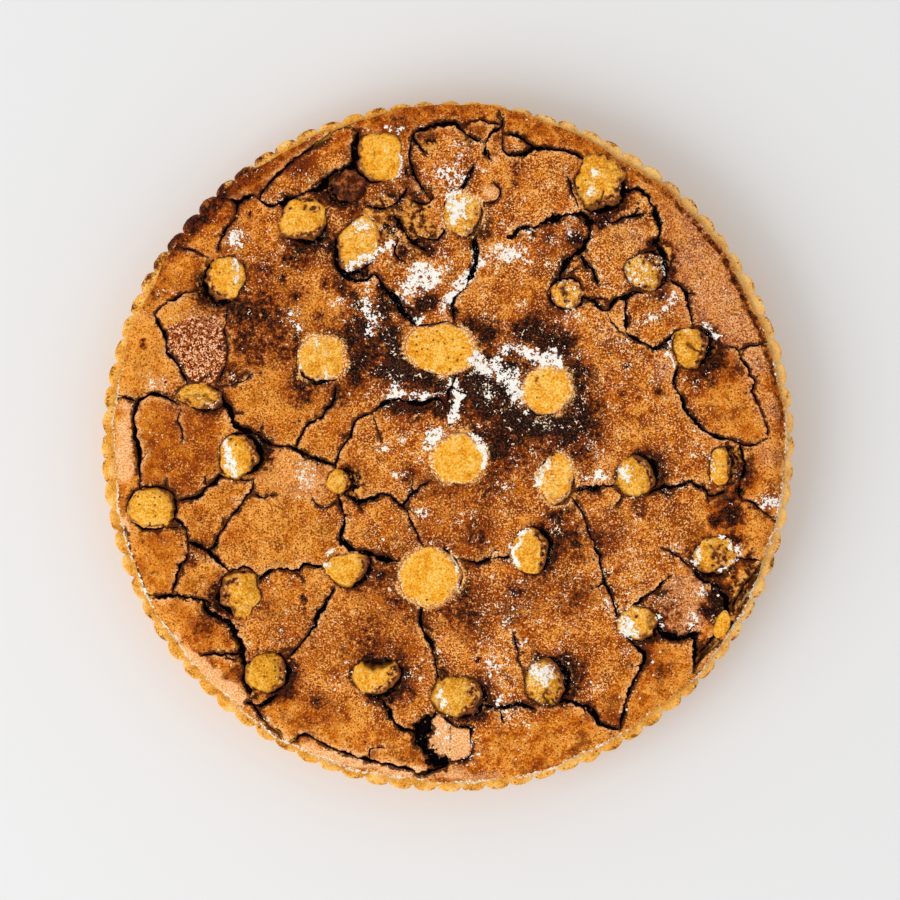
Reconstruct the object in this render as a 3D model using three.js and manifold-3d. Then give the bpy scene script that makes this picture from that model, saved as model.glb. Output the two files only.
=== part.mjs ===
// Apple almond tart: a fluted shortcrust shell, a baked almond filling whose crust has cracked into
// plates, and apple pieces sunk in pits of that filling.
// Millimetres, +Z up, origin at the centre of the base. +Y is the far side as the tart is seen from above.

import * as THREE from "three";
import { mergeVertices } from "three/addons/utils/BufferGeometryUtils.js";
import Module from "manifold-3d";

const wasm = await Module();
wasm.setup();

// Driving dimensions
const TART_DIAMETER = 280;
const SHELL_HEIGHT = 27;
const FILLING_CROWN = 34; // top of the filling at the centre
const CLEARANCE = 0.35; // between any two pieces

// Shortcrust shell
const FLUTES = 88;
const FLUTE_DEPTH = 2.6;
const FLUTE_COLUMNS = 4;
const BASE_THICKNESS = 4;
const WALL_THICKNESS = 3.6; // at the rim, behind a flute's groove
const WALL_FLARE = 9; // how much wider the rim is than the base, on the radius
const RIM_BEVEL = 1.1;
const RIM_RADIUS = TART_DIAMETER / 2;
const CAVITY_RADIUS = RIM_RADIUS - FLUTE_DEPTH - WALL_THICKNESS;

// Almond filling
const FILLING_COLUMNS = 48;
const CROWN_RINGS = [126, 106, 76, 40];
const EDGE_HEIGHT = SHELL_HEIGHT + 1.6; // top of the lip that meets the shell's rim
const SHOULDER_HEIGHT = SHELL_HEIGHT + 4; // where the lip has curved up into the crust
const RIM_COVER = 2; // how far the lip lies over the shell's rim all round
const OVERFLOW = 2.6; // how much further the filling has run out over the rim on the far side
const OVERFLOW_HALF_ANGLE = 0.62;
const CRACK_FLOOR = 23;
const CRACK_STEP = 9.5;
const CRACK_WANDER = 0.8; // how far a crack strays from its route
const CRACK_UNEVENNESS = 0.35; // of its width
const CRACK_END = 0.6; // width at its ends against the rest
const CUT_TOP = FILLING_CROWN + 8; // height that the cracks and pits are cut from

// Apple pieces
const APPLE_DEPTH = 11; // at most: a small piece is shallower
const APPLE_DEPTH_SHARE = 1.3; // of its smaller half size
const APPLE_WAIST = 0.41; // how far down a piece is widest, as a share of its depth
const APPLE_SHOULDER = 0.1;
const APPLE_SIDES = 10;
const APPLE_RISE = 0.5; // how far a piece's top stands out of the crust
const APPLE_UNEVENNESS = 0.07; // of its radius
const PIT_CLEARANCE = CLEARANCE + 0.1;
const PIT_FLARE = 1.06; // width of a pit's mouth against the piece in it
const BROWNED_APPLE = "apple_02";

// Each apple piece from above: centre, half length, half width, turn in degrees, then the gap that has
// opened beside it and the direction of that gap in degrees.
const APPLES = {
  apple_01: [-27.3, 116.2, 9.7, 10.2, 0, 1.4, 200],
  apple_02: [-40.3, 104.6, 6.5, 5.8, 15, 3, 195],
  apple_03: [-58.5, 91, 10, 7.5, 0, 3, -70],
  apple_04: [-37, 81.5, 8.3, 11.3, -21, 2.2, 235],
  apple_05: [5, 94, 7.5, 9.5, 0, 1.2, -30],
  apple_06: [59.8, 106.3, 10, 11, -12, 2.4, -50],
  apple_07: [-90, 68, 7.6, 9.3, -18, 3.2, 215],
  apple_08: [79, 70.5, 8.2, 7.2, 0, 3, 35],
  apple_09: [47, 61, 6.4, 5, 0, 0.9, 240],
  apple_10: [-3.5, 39.5, 15.5, 10.5, -4, 0.3, 90],
  apple_11: [-51, 35, 10, 10, 0, 1, 235],
  apple_12: [97, 40, 7.2, 8.6, -20, 3.8, -5],
  apple_13: [-100, 20, 9.8, 4.5, -8, 1.6, -35],
  apple_14: [39.5, 23, 10, 10.4, 0, 0.6, -90],
  apple_15: [-85, -4, 8, 9, -12, 4.6, 20],
  apple_16: [4, -5, 11, 10.4, 0, 0.3, 90],
  apple_17: [43, -13, 7.1, 10.6, 0, 1.4, -50],
  apple_18: [74.5, -12.5, 8.1, 8.6, 0, 3.2, 25],
  apple_19: [109, -8, 4.2, 9.2, 0, 5.2, 5],
  apple_20: [-44, -14, 4.6, 4.8, 0, 2.8, 5],
  apple_21: [-119.6, -24.5, 9.5, 7.6, 0, 1.1, 40],
  apple_22: [32.5, -42.5, 7.4, 9.5, 0, 2.6, 10],
  apple_23: [106.5, -43.5, 8.6, 7.4, 25, 1.8, 265],
  apple_24: [-41, -49.5, 9, 6.6, 12, 1.8, -15],
  apple_25: [-8, -52, 12.5, 12.6, 0, 0.7, 0],
  apple_26: [-84, -59, 8.5, 8.8, 10, 3.2, 185],
  apple_27: [75.5, -71, 8.2, 6.5, 0, 1.8, -25],
  apple_28: [-73.5, -91, 8.2, 8.5, 0, 2.2, -15],
  apple_29: [-30, -92, 10, 7.4, 8, 3.2, -35],
  apple_30: [3, -101, 10.4, 8.4, 0, 2.8, -15],
  apple_31: [38.5, -95.5, 8.5, 9.4, 0, 3.6, 15],
  apple_32: [109.8, -72, 2.4, 5.2, -24, 0.3, 180],
};

// Each crack from above: its width at the mouth, and the few points that it runs through.
const CRACKS = [
  // far left
  [1.0, [-72, 108], [-62, 116], [-50, 124.5], [-40, 130]],
  [1.8, [-40, 130.5], [-36.5, 126], [-39, 116], [-41, 111]],
  [2.0, [-46, 109], [-53, 104], [-61, 102], [-67, 97.5]],
  [1.0, [-66, 98], [-75, 98], [-73, 107]],
  [1.0, [-92, 101], [-80, 100.5], [-72, 108]],
  [1.0, [-85, 100], [-86, 93], [-91, 86], [-92, 78]],
  [0.8, [-109, 80.5], [-99, 77.5], [-95, 74]],
  // left
  [1.3, [-99, 63], [-110, 60], [-118, 54], [-114, 44], [-114, 37], [-107, 29], [-104, 22]],
  [1.4, [-138, 20], [-128, 18.5], [-126.5, 8], [-126, -4], [-124, -19]],
  [1.0, [-126, 17], [-118, 21], [-107, 19]],
  [2.2, [-92, 17], [-87, 9], [-83, 4]],
  [1.4, [-78, 2], [-66, 0], [-57, -2], [-51, -6], [-45, -9]],
  [1.0, [-62, 0], [-57, 8.5], [-51, 12.5], [-46, 19], [-46, 27]],
  [1.2, [-46, -8], [-41, 2], [-37, 10], [-29, 15.5], [-21, 19.5], [-8, 19], [0, 20]],
  [1.0, [-81, -9], [-80, -18], [-89, -29], [-95, -41]],
  [1.4, [-89, -10], [-99, -17], [-112, -24]],
  [1.5, [-112, -27], [-105, -39], [-95, -42], [-87, -54]],
  [1.3, [-105, -39], [-109, -49], [-112, -60]],
  // near left
  [1.0, [-131, -31], [-129.5, -44], [-122, -62]],
  [2.6, [-126, -62], [-112, -60], [-99, -63], [-93, -70], [-86, -75], [-84, -85], [-82, -96], [-78, -104]],
  [1.0, [-101, -84], [-93, -82.5], [-84, -83]],
  [1.5, [-78, -55], [-68, -50], [-55, -47.5], [-46, -47]],
  [1.7, [-68, -87], [-57, -77], [-53, -68], [-46, -58], [-43, -53]],
  [1.3, [-78, -104], [-71, -113.5], [-64, -119], [-58, -116], [-46, -121.5], [-33, -125.5]],
  [1.3, [-34, -125.3], [-14, -131], [3, -126]],
  [1.2, [-29, -96], [-20, -111], [-13, -115]],
  [3.4, [-14, -115], [-12, -121], [-6, -128.5]],
  [1.2, [-13, -115], [-8, -108.5], [-1, -106]],
  // middle
  [1.4, [0, 20], [1.5, 12], [2, 3]],
  [1.6, [-44, -16], [-43.5, -27], [-43.5, -37]],
  [1.9, [-45, -37], [-34, -41], [-16, -46]],
  [1.6, [-41, -15], [-33, -21], [-26, -18.5], [-19, -23.5], [-14, -32], [-9, -43]],
  [1.0, [-19, -23.5], [-13, -17]],
  [1.4, [-2, -44], [10, -46.5], [27, -44]],
  [1.4, [-10, -62], [-11, -71], [-6, -83], [-4, -99]],
  // near right
  [1.3, [9, -102], [18, -105.5], [30, -104], [38, -103]],
  [1.4, [42, -102], [48, -102.5], [58, -107], [62, -112], [70, -114.5]],
  [1.3, [70, -118], [71, -103], [78, -88], [78.5, -82], [75, -73]],
  [2.0, [79, -73], [88, -77], [98, -75.5], [99.5, -82], [98.5, -91]],
  // right
  [1.4, [46, -18], [58, -16], [70, -14]],
  [1.2, [47, -19], [55, -31], [58, -43], [64, -56], [68, -69]],
  [1.4, [69, -67], [77, -62.5], [88.5, -51]],
  [1.6, [80, -16], [94, -14.5], [103, -18], [110, -16]],
  [1.9, [97, 35], [91, 28], [92, 20], [103, 6.5], [111, 1]],
  [1.0, [133, 42.5], [118, 39], [122, 27], [125, 16], [127.5, 3]],
  [1.2, [119, 39.5], [112, 40.5], [104, 40]],
  [1.0, [111, -17], [119, -22], [127, -27], [138, -30.5]],
  [1.2, [134, -31], [127, -45], [116, -59], [113, -69], [109, -77], [102, -86]],
  [1.0, [112, -44.5], [119, -45], [127, -46]],
  // far right
  [1.3, [-19, 120], [-12, 126.5], [-3, 130.5], [3, 129.5], [8, 124], [15, 122.5]],
  [1.0, [6, 129], [14, 131], [21.5, 129], [15, 122.5], [14, 117]],
  [1.3, [21.5, 128], [22, 119.5], [28, 117.5], [37, 120], [56, 116]],
  [0.9, [22, 125.5], [30, 123.5], [36, 120]],
  [1.9, [68, 103], [78, 103], [82, 96], [85, 90], [82, 76]],
  [1.0, [62, 101], [66, 90.5], [74, 91.5], [80, 94]],
  [2.2, [60, 99], [57, 90], [46, 93], [36, 89], [25.5, 84]],
  [2.4, [57, 91], [56, 82], [47, 72], [46, 64]],
  [1.5, [53, 76.5], [58, 69], [62, 64.5]],
  [1.4, [50, 62], [63, 55.5], [70, 60.5], [79, 62], [80, 67]],
  [1.3, [71, 61], [70.5, 48], [80, 41], [87, 41.5], [93, 44]],
  [0.9, [63, 55.5], [70, 46]],
  [1.1, [86, 68], [94, 62.5], [98, 53], [98, 44]],
  [0.9, [10, 114], [7, 106], [6, 99]],
];

const clamp01 = (t) => THREE.MathUtils.clamp(t, 0, 1);
const smooth = (t) => THREE.MathUtils.smoothstep(t, 0, 1);

// A repeatable number from -1 to 1 for each pair of whole numbers.
function scatter(i, j) {
  const wave = Math.sin(i * 127.1 + j * 311.7) * 43758.5453;
  return 2 * (wave - Math.floor(wave)) - 1;
}

// A closed surface through rings of equal point count, with a fan over the first and the last ring.
// Seen from the last ring, looking back, each ring runs anticlockwise.
function loft(rings) {
  const sides = rings[0].length;
  const middles = [rings[0], rings.at(-1)].map((ring) =>
    ring.reduce((sum, p) => sum.add(p), new THREE.Vector3()).divideScalar(sides),
  );
  const points = [...rings.flat(), ...middles];
  const firstMiddle = rings.length * sides;
  const lastRing = (rings.length - 1) * sides;
  const triangles = [];
  for (let i = 0; i < sides; i++) {
    const next = (i + 1) % sides;
    triangles.push(firstMiddle, next, i);
    triangles.push(firstMiddle + 1, lastRing + i, lastRing + next);
    for (let below = 0; below < lastRing; below += sides) {
      const above = below + sides;
      triangles.push(below + i, below + next, above + next);
      triangles.push(below + i, above + next, above + i);
    }
  }
  const geometry = new THREE.BufferGeometry().setFromPoints(points);
  geometry.setIndex(triangles);
  return geometry;
}

const onCircle = (radius, angle) => [radius * Math.cos(angle), radius * Math.sin(angle)];

// A ring whose radius is a function of the angle, and whose height is a number or a function of it.
function levelRing(columns, height, radiusAt, centre = [0, 0]) {
  return Array.from({ length: columns }, (_, i) => {
    const angle = (2 * Math.PI * i) / columns;
    const [x, y] = onCircle(radiusAt(angle, i), angle);
    const z = typeof height === "function" ? height(angle) : height;
    return new THREE.Vector3(centre[0] + x, centre[1] + y, z);
  });
}

function solidOf(geometry) {
  const merged = mergeVertices(geometry);
  return new wasm.Manifold(
    new wasm.Mesh({
      numProp: 3,
      vertProperties: merged.attributes.position.array,
      triVerts: new Uint32Array(merged.index.array),
    }),
  );
}

function geometryOf(solid) {
  const { vertProperties, triVerts } = solid.getMesh();
  const geometry = new THREE.BufferGeometry();
  geometry.setAttribute("position", new THREE.BufferAttribute(vertProperties, 3));
  geometry.setIndex(new THREE.BufferAttribute(triVerts, 1));
  geometry.computeVertexNormals();
  return geometry;
}

// The shell's radius grows evenly from its base to its rim.
const flareAt = (height) => WALL_FLARE * (1 - height / SHELL_HEIGHT);

function shortcrustShell() {
  const columns = FLUTES * FLUTE_COLUMNS;
  const scallop = (column) => Math.sqrt(Math.abs(Math.cos((Math.PI * column) / FLUTE_COLUMNS)));
  const wallRing = (height, inset) =>
    levelRing(columns, height, (_, i) => {
      const outermost = RIM_RADIUS - flareAt(height) - inset;
      return outermost - FLUTE_DEPTH * (1 - scallop(i));
    });
  const bevelBase = SHELL_HEIGHT - RIM_BEVEL;
  const outside = loft([wallRing(0, 0), wallRing(bevelBase, 0), wallRing(SHELL_HEIGHT, RIM_BEVEL)]);
  const cavityRing = (height) => levelRing(FLUTES, height, () => CAVITY_RADIUS - flareAt(height));
  const cavity = loft([cavityRing(BASE_THICKNESS), cavityRing(SHELL_HEIGHT), cavityRing(SHELL_HEIGHT + 1)]);
  return geometryOf(solidOf(outside).subtract(solidOf(cavity)));
}

// Height of the crust before it cracked: a low crown with gentle swells.
function crustHeight(x, y) {
  const share = clamp01(Math.hypot(x, y) / CROWN_RINGS[0]);
  const crown = THREE.MathUtils.lerp(FILLING_CROWN, SHOULDER_HEIGHT, share ** 2);
  const swell = 0.7 * Math.sin(x / 19 + 0.6) * Math.cos(y / 23) + 0.45 * Math.sin((x - y) / 12);
  return crown + swell * (1 - share ** 6);
}

// The crust ends part of the way over the shell's rim, and further out where the filling has run over.
function lipRadius(angle) {
  const away = Math.abs(angle - Math.PI / 2) / OVERFLOW_HALF_ANGLE;
  return CAVITY_RADIUS - CLEARANCE + RIM_COVER + OVERFLOW * smooth(1 - away);
}

function crackBlade([width, ...route], number) {
  const line = new THREE.CatmullRomCurve3(route.map(([x, y]) => new THREE.Vector3(x, y, 0)));
  const steps = Math.max(2, Math.round(line.getLength() / CRACK_STEP));
  const sections = line.getSpacedPoints(steps).map((point, i) => {
    const along = line.getTangentAt(i / steps);
    const left = new THREE.Vector3(-along.y, along.x, 0);
    const inside = i > 0 && i < steps;
    const stray = inside ? CRACK_WANDER * scatter(i, number) : 0;
    const middle = point.clone().addScaledVector(left, stray);
    const half = (width / 2) * (inside ? 1 + CRACK_UNEVENNESS * scatter(number, i) : CRACK_END);
    const corner = (side, height) => middle.clone().addScaledVector(left, side).setZ(height);
    return [corner(0, CRACK_FLOOR), corner(half, CUT_TOP), corner(-half, CUT_TOP)];
  });
  return solidOf(loft(sections));
}

// Radius of an apple piece at its widest, round its own centre: an uneven oval.
function appleRadius([, , halfLength, halfWidth, turn], angle, number) {
  const own = angle - THREE.MathUtils.degToRad(turn);
  const oval = 1 / Math.hypot(Math.cos(own) / halfLength, Math.sin(own) / halfWidth);
  const column = Math.round((angle * APPLE_SIDES) / (2 * Math.PI));
  return oval * (1 + APPLE_UNEVENNESS * scatter(column, number));
}

const appleTop = ([x, y]) => crustHeight(x, y) + APPLE_RISE;
const appleDepth = ([, , halfLength, halfWidth]) =>
  Math.min(APPLE_DEPTH, APPLE_DEPTH_SHARE * Math.min(halfLength, halfWidth));

function applePiece(apple, number) {
  const [top, depth] = [appleTop(apple), appleDepth(apple)];
  const ring = (drop, share) =>
    levelRing(APPLE_SIDES, top - drop * depth, (angle) => share * appleRadius(apple, angle, number), apple);
  return loft([ring(1, 0.62), ring(APPLE_WAIST, 1), ring(APPLE_SHOULDER, 0.93), ring(0, 0.68)]);
}

function applePit(apple, number) {
  const [gap, direction] = [apple[5], THREE.MathUtils.degToRad(apple[6])];
  const [top, depth] = [appleTop(apple), appleDepth(apple)];
  const ring = (height, share, opening) =>
    levelRing(APPLE_SIDES, height, (angle) => {
      const towards = Math.max(0, Math.cos(angle - direction)) ** 1.5;
      return share * appleRadius(apple, angle, number) + PIT_CLEARANCE + opening * gap * towards;
    }, apple);
  const floor = ring(top - depth - CLEARANCE, 0.66, 0.2);
  const waist = ring(top - APPLE_WAIST * depth, 1, 0.9);
  return solidOf(loft([floor, waist, ring(CUT_TOP, PIT_FLARE, 1.2)]));
}

function almondFilling() {
  const columns = FILLING_COLUMNS;
  const wall = (height) => levelRing(columns, height, () => CAVITY_RADIUS - CLEARANCE - flareAt(height));
  const rimTop = SHELL_HEIGHT + CLEARANCE;
  const crust = CROWN_RINGS.map((radius) =>
    levelRing(columns, (angle) => crustHeight(...onCircle(radius, angle)), () => radius),
  );
  const body = loft([
    wall(BASE_THICKNESS + CLEARANCE),
    wall(rimTop),
    levelRing(columns, rimTop, lipRadius),
    levelRing(columns, EDGE_HEIGHT, lipRadius),
    levelRing(columns, (EDGE_HEIGHT + SHOULDER_HEIGHT) / 2 + 0.5, (angle) => lipRadius(angle) - 3),
    ...crust,
  ]);
  const cracks = CRACKS.map(crackBlade);
  const pits = Object.values(APPLES).map(applePit);
  const cut = [...cracks, ...pits].reduce((joined, tool) => joined.add(tool));
  return geometryOf(solidOf(body).subtract(cut));
}

const MATERIALS = {
  shell: new THREE.MeshStandardMaterial({ color: 0xd99a3c, roughness: 0.75, metalness: 0 }),
  filling: new THREE.MeshStandardMaterial({ color: 0xb06a24, roughness: 0.6, metalness: 0 }),
  apple: new THREE.MeshStandardMaterial({ color: 0xf0a93a, roughness: 0.55, metalness: 0 }),
  browned: new THREE.MeshStandardMaterial({ color: 0x6b3216, roughness: 0.45, metalness: 0 }),
};

function piece(name, geometry, material) {
  const mesh = new THREE.Mesh(geometry, material);
  mesh.name = name;
  return mesh;
}

const tart = new THREE.Group();
tart.name = "apple_almond_tart";
tart.add(piece("pastry_shell", shortcrustShell(), MATERIALS.shell));
tart.add(piece("almond_filling", almondFilling(), MATERIALS.filling));
Object.entries(APPLES).forEach(([name, apple], number) => {
  const material = name === BROWNED_APPLE ? MATERIALS.browned : MATERIALS.apple;
  tart.add(piece(name, applePiece(apple, number), material));
});

export default tart;
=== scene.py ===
"""Looks of the apple almond tart: fluted shortcrust, cracked almond crust, apple pieces and sugar dust."""

import math

import bmesh
import bpy
import numpy as np
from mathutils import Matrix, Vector
from mathutils.bvhtree import BVHTree


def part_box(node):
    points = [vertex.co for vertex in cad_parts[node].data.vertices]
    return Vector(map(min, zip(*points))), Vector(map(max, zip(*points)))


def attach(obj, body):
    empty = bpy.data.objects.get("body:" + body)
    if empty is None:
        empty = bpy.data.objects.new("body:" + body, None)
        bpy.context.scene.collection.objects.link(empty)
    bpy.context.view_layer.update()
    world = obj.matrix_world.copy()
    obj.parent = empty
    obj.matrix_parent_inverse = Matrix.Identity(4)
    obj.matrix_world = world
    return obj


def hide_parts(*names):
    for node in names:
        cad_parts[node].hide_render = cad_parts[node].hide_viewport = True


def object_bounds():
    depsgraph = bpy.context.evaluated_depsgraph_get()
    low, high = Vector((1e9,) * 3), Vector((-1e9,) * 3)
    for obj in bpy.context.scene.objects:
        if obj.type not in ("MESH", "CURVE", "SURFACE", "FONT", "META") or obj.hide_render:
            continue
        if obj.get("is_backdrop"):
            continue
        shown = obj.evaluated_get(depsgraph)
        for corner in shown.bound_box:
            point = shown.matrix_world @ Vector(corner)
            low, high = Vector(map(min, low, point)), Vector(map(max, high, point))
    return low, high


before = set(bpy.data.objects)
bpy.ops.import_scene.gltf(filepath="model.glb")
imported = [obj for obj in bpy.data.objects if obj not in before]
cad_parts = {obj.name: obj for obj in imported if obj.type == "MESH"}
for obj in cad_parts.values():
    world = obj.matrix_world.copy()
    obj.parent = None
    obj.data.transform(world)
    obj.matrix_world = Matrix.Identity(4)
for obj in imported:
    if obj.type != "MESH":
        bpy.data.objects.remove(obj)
CAD_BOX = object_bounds()

MM = 0.001

# Where the random draws start
SEED = 28
GRAIN_SEED = SEED + 7
LIFT_SEED = SEED + 500
TWIG_SEED = SEED + 900
LATTICE = 97
LATTICE_START = (40.37, 40.61)

# Sizes of the tart in millimetres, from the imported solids
SHELL_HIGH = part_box("pastry_shell")[1] / MM
FILLING_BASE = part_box("almond_filling")[0].z / MM
APPLE_NODES = sorted(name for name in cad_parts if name.startswith("apple_"))
BROWNED_APPLE = "apple_02"
RIM_HEIGHT = SHELL_HIGH.z
RIM_RADIUS = SHELL_HIGH.x
FLUTES = 88
FLUTE_POINTS = 12
FLUTE_DEPTH = 2.3
WALL_FLARE = 9.0
SHELL_FLOOR = 4.0
CAVITY_RADIUS = RIM_RADIUS - 5.9
CLEARANCE = 0.35
GRIP = -0.2

# The crust before it cracked, in millimetres
CROWN_HEIGHT = RIM_HEIGHT + 7
SHOULDER_HEIGHT = RIM_HEIGHT + 4
SHOULDER_RADIUS = 126.0
LIP_HEIGHT = RIM_HEIGHT + 1.5
LIP_COVER = 2.0
OVERFLOW = 2.6
OVERFLOW_HALF_ANGLE = 0.62
BURNT_ANGLE = 2.4
BURNT_HALF_ANGLE = 0.25
CRUST_CELLS = 250

# How cracks and pits are cut: millimetres, counts of points, and the share of an apple piece above its waist
CRACK_STEP = 1.2
TWIG_POINTS = 17
CRACK_REACH = 12
CUT_ABOVE = 9.0
PIT_POINTS = 72
APPLE_WAIST = 0.41

# The studio: metres, degrees and watts, and millimetres for a pixel and the camera's shift
CAMERA_HEIGHT = 1.3
CAMERA_SHIFT = (0.4, -1.4)
SENSOR_WIDTH = 36
PICTURE_PIXELS = 900
PIXEL_SIZE = 0.404
WINDOW_SIZE = 2.4
WINDOW_POWER = 36
WINDOW_DISTANCE = 2.6
WINDOW_TURN = 208
WINDOW_RISE = 38
ROOM_LIGHT = 0.82

# How each apple piece sits: the gap beside it, the direction of that gap, and how much the crust dips to it
PITS = {
    "apple_01": (1.4, 200, 0.4), "apple_02": (3.0, 195, 1.2), "apple_03": (2.2, -70, 0.8),
    "apple_04": (1.7, 235, 0.6), "apple_05": (1.2, -30, 0.2), "apple_06": (2.4, -50, 0.6),
    "apple_07": (3.2, 215, 0.8), "apple_08": (3.0, 35, 0.8), "apple_09": (0.9, 240, 0.4),
    "apple_10": (0.2, 90, 0.0), "apple_11": (1.0, 235, 0.2), "apple_12": (3.8, -5, 0.9),
    "apple_13": (1.6, -35, 0.5), "apple_14": (0.4, -90, 0.0), "apple_15": (3.2, 20, 0.9),
    "apple_16": (0.2, 90, 0.0), "apple_17": (1.4, -50, 0.3), "apple_18": (3.2, 25, 0.8),
    "apple_19": (5.2, 5, 0.8), "apple_20": (2.8, 5, 0.6), "apple_21": (1.1, 40, 0.5),
    "apple_22": (2.6, 10, 0.6), "apple_23": (1.8, 265, 0.8), "apple_24": (1.8, -15, 0.5),
    "apple_25": (0.6, 0, 0.2), "apple_26": (2.0, 200, 0.8), "apple_27": (1.8, -25, 0.4),
    "apple_28": (2.2, -15, 0.8), "apple_29": (3.2, -35, 0.8), "apple_30": (2.8, -15, 0.6),
    "apple_31": (3.6, 15, 1.2), "apple_32": (0.3, 180, 0.0),
}

# Apple pieces that lie level with the crust, with mealy edges
FLUSH_APPLES = {"apple_05", "apple_10", "apple_11", "apple_14", "apple_16", "apple_17", "apple_25"}

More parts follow.
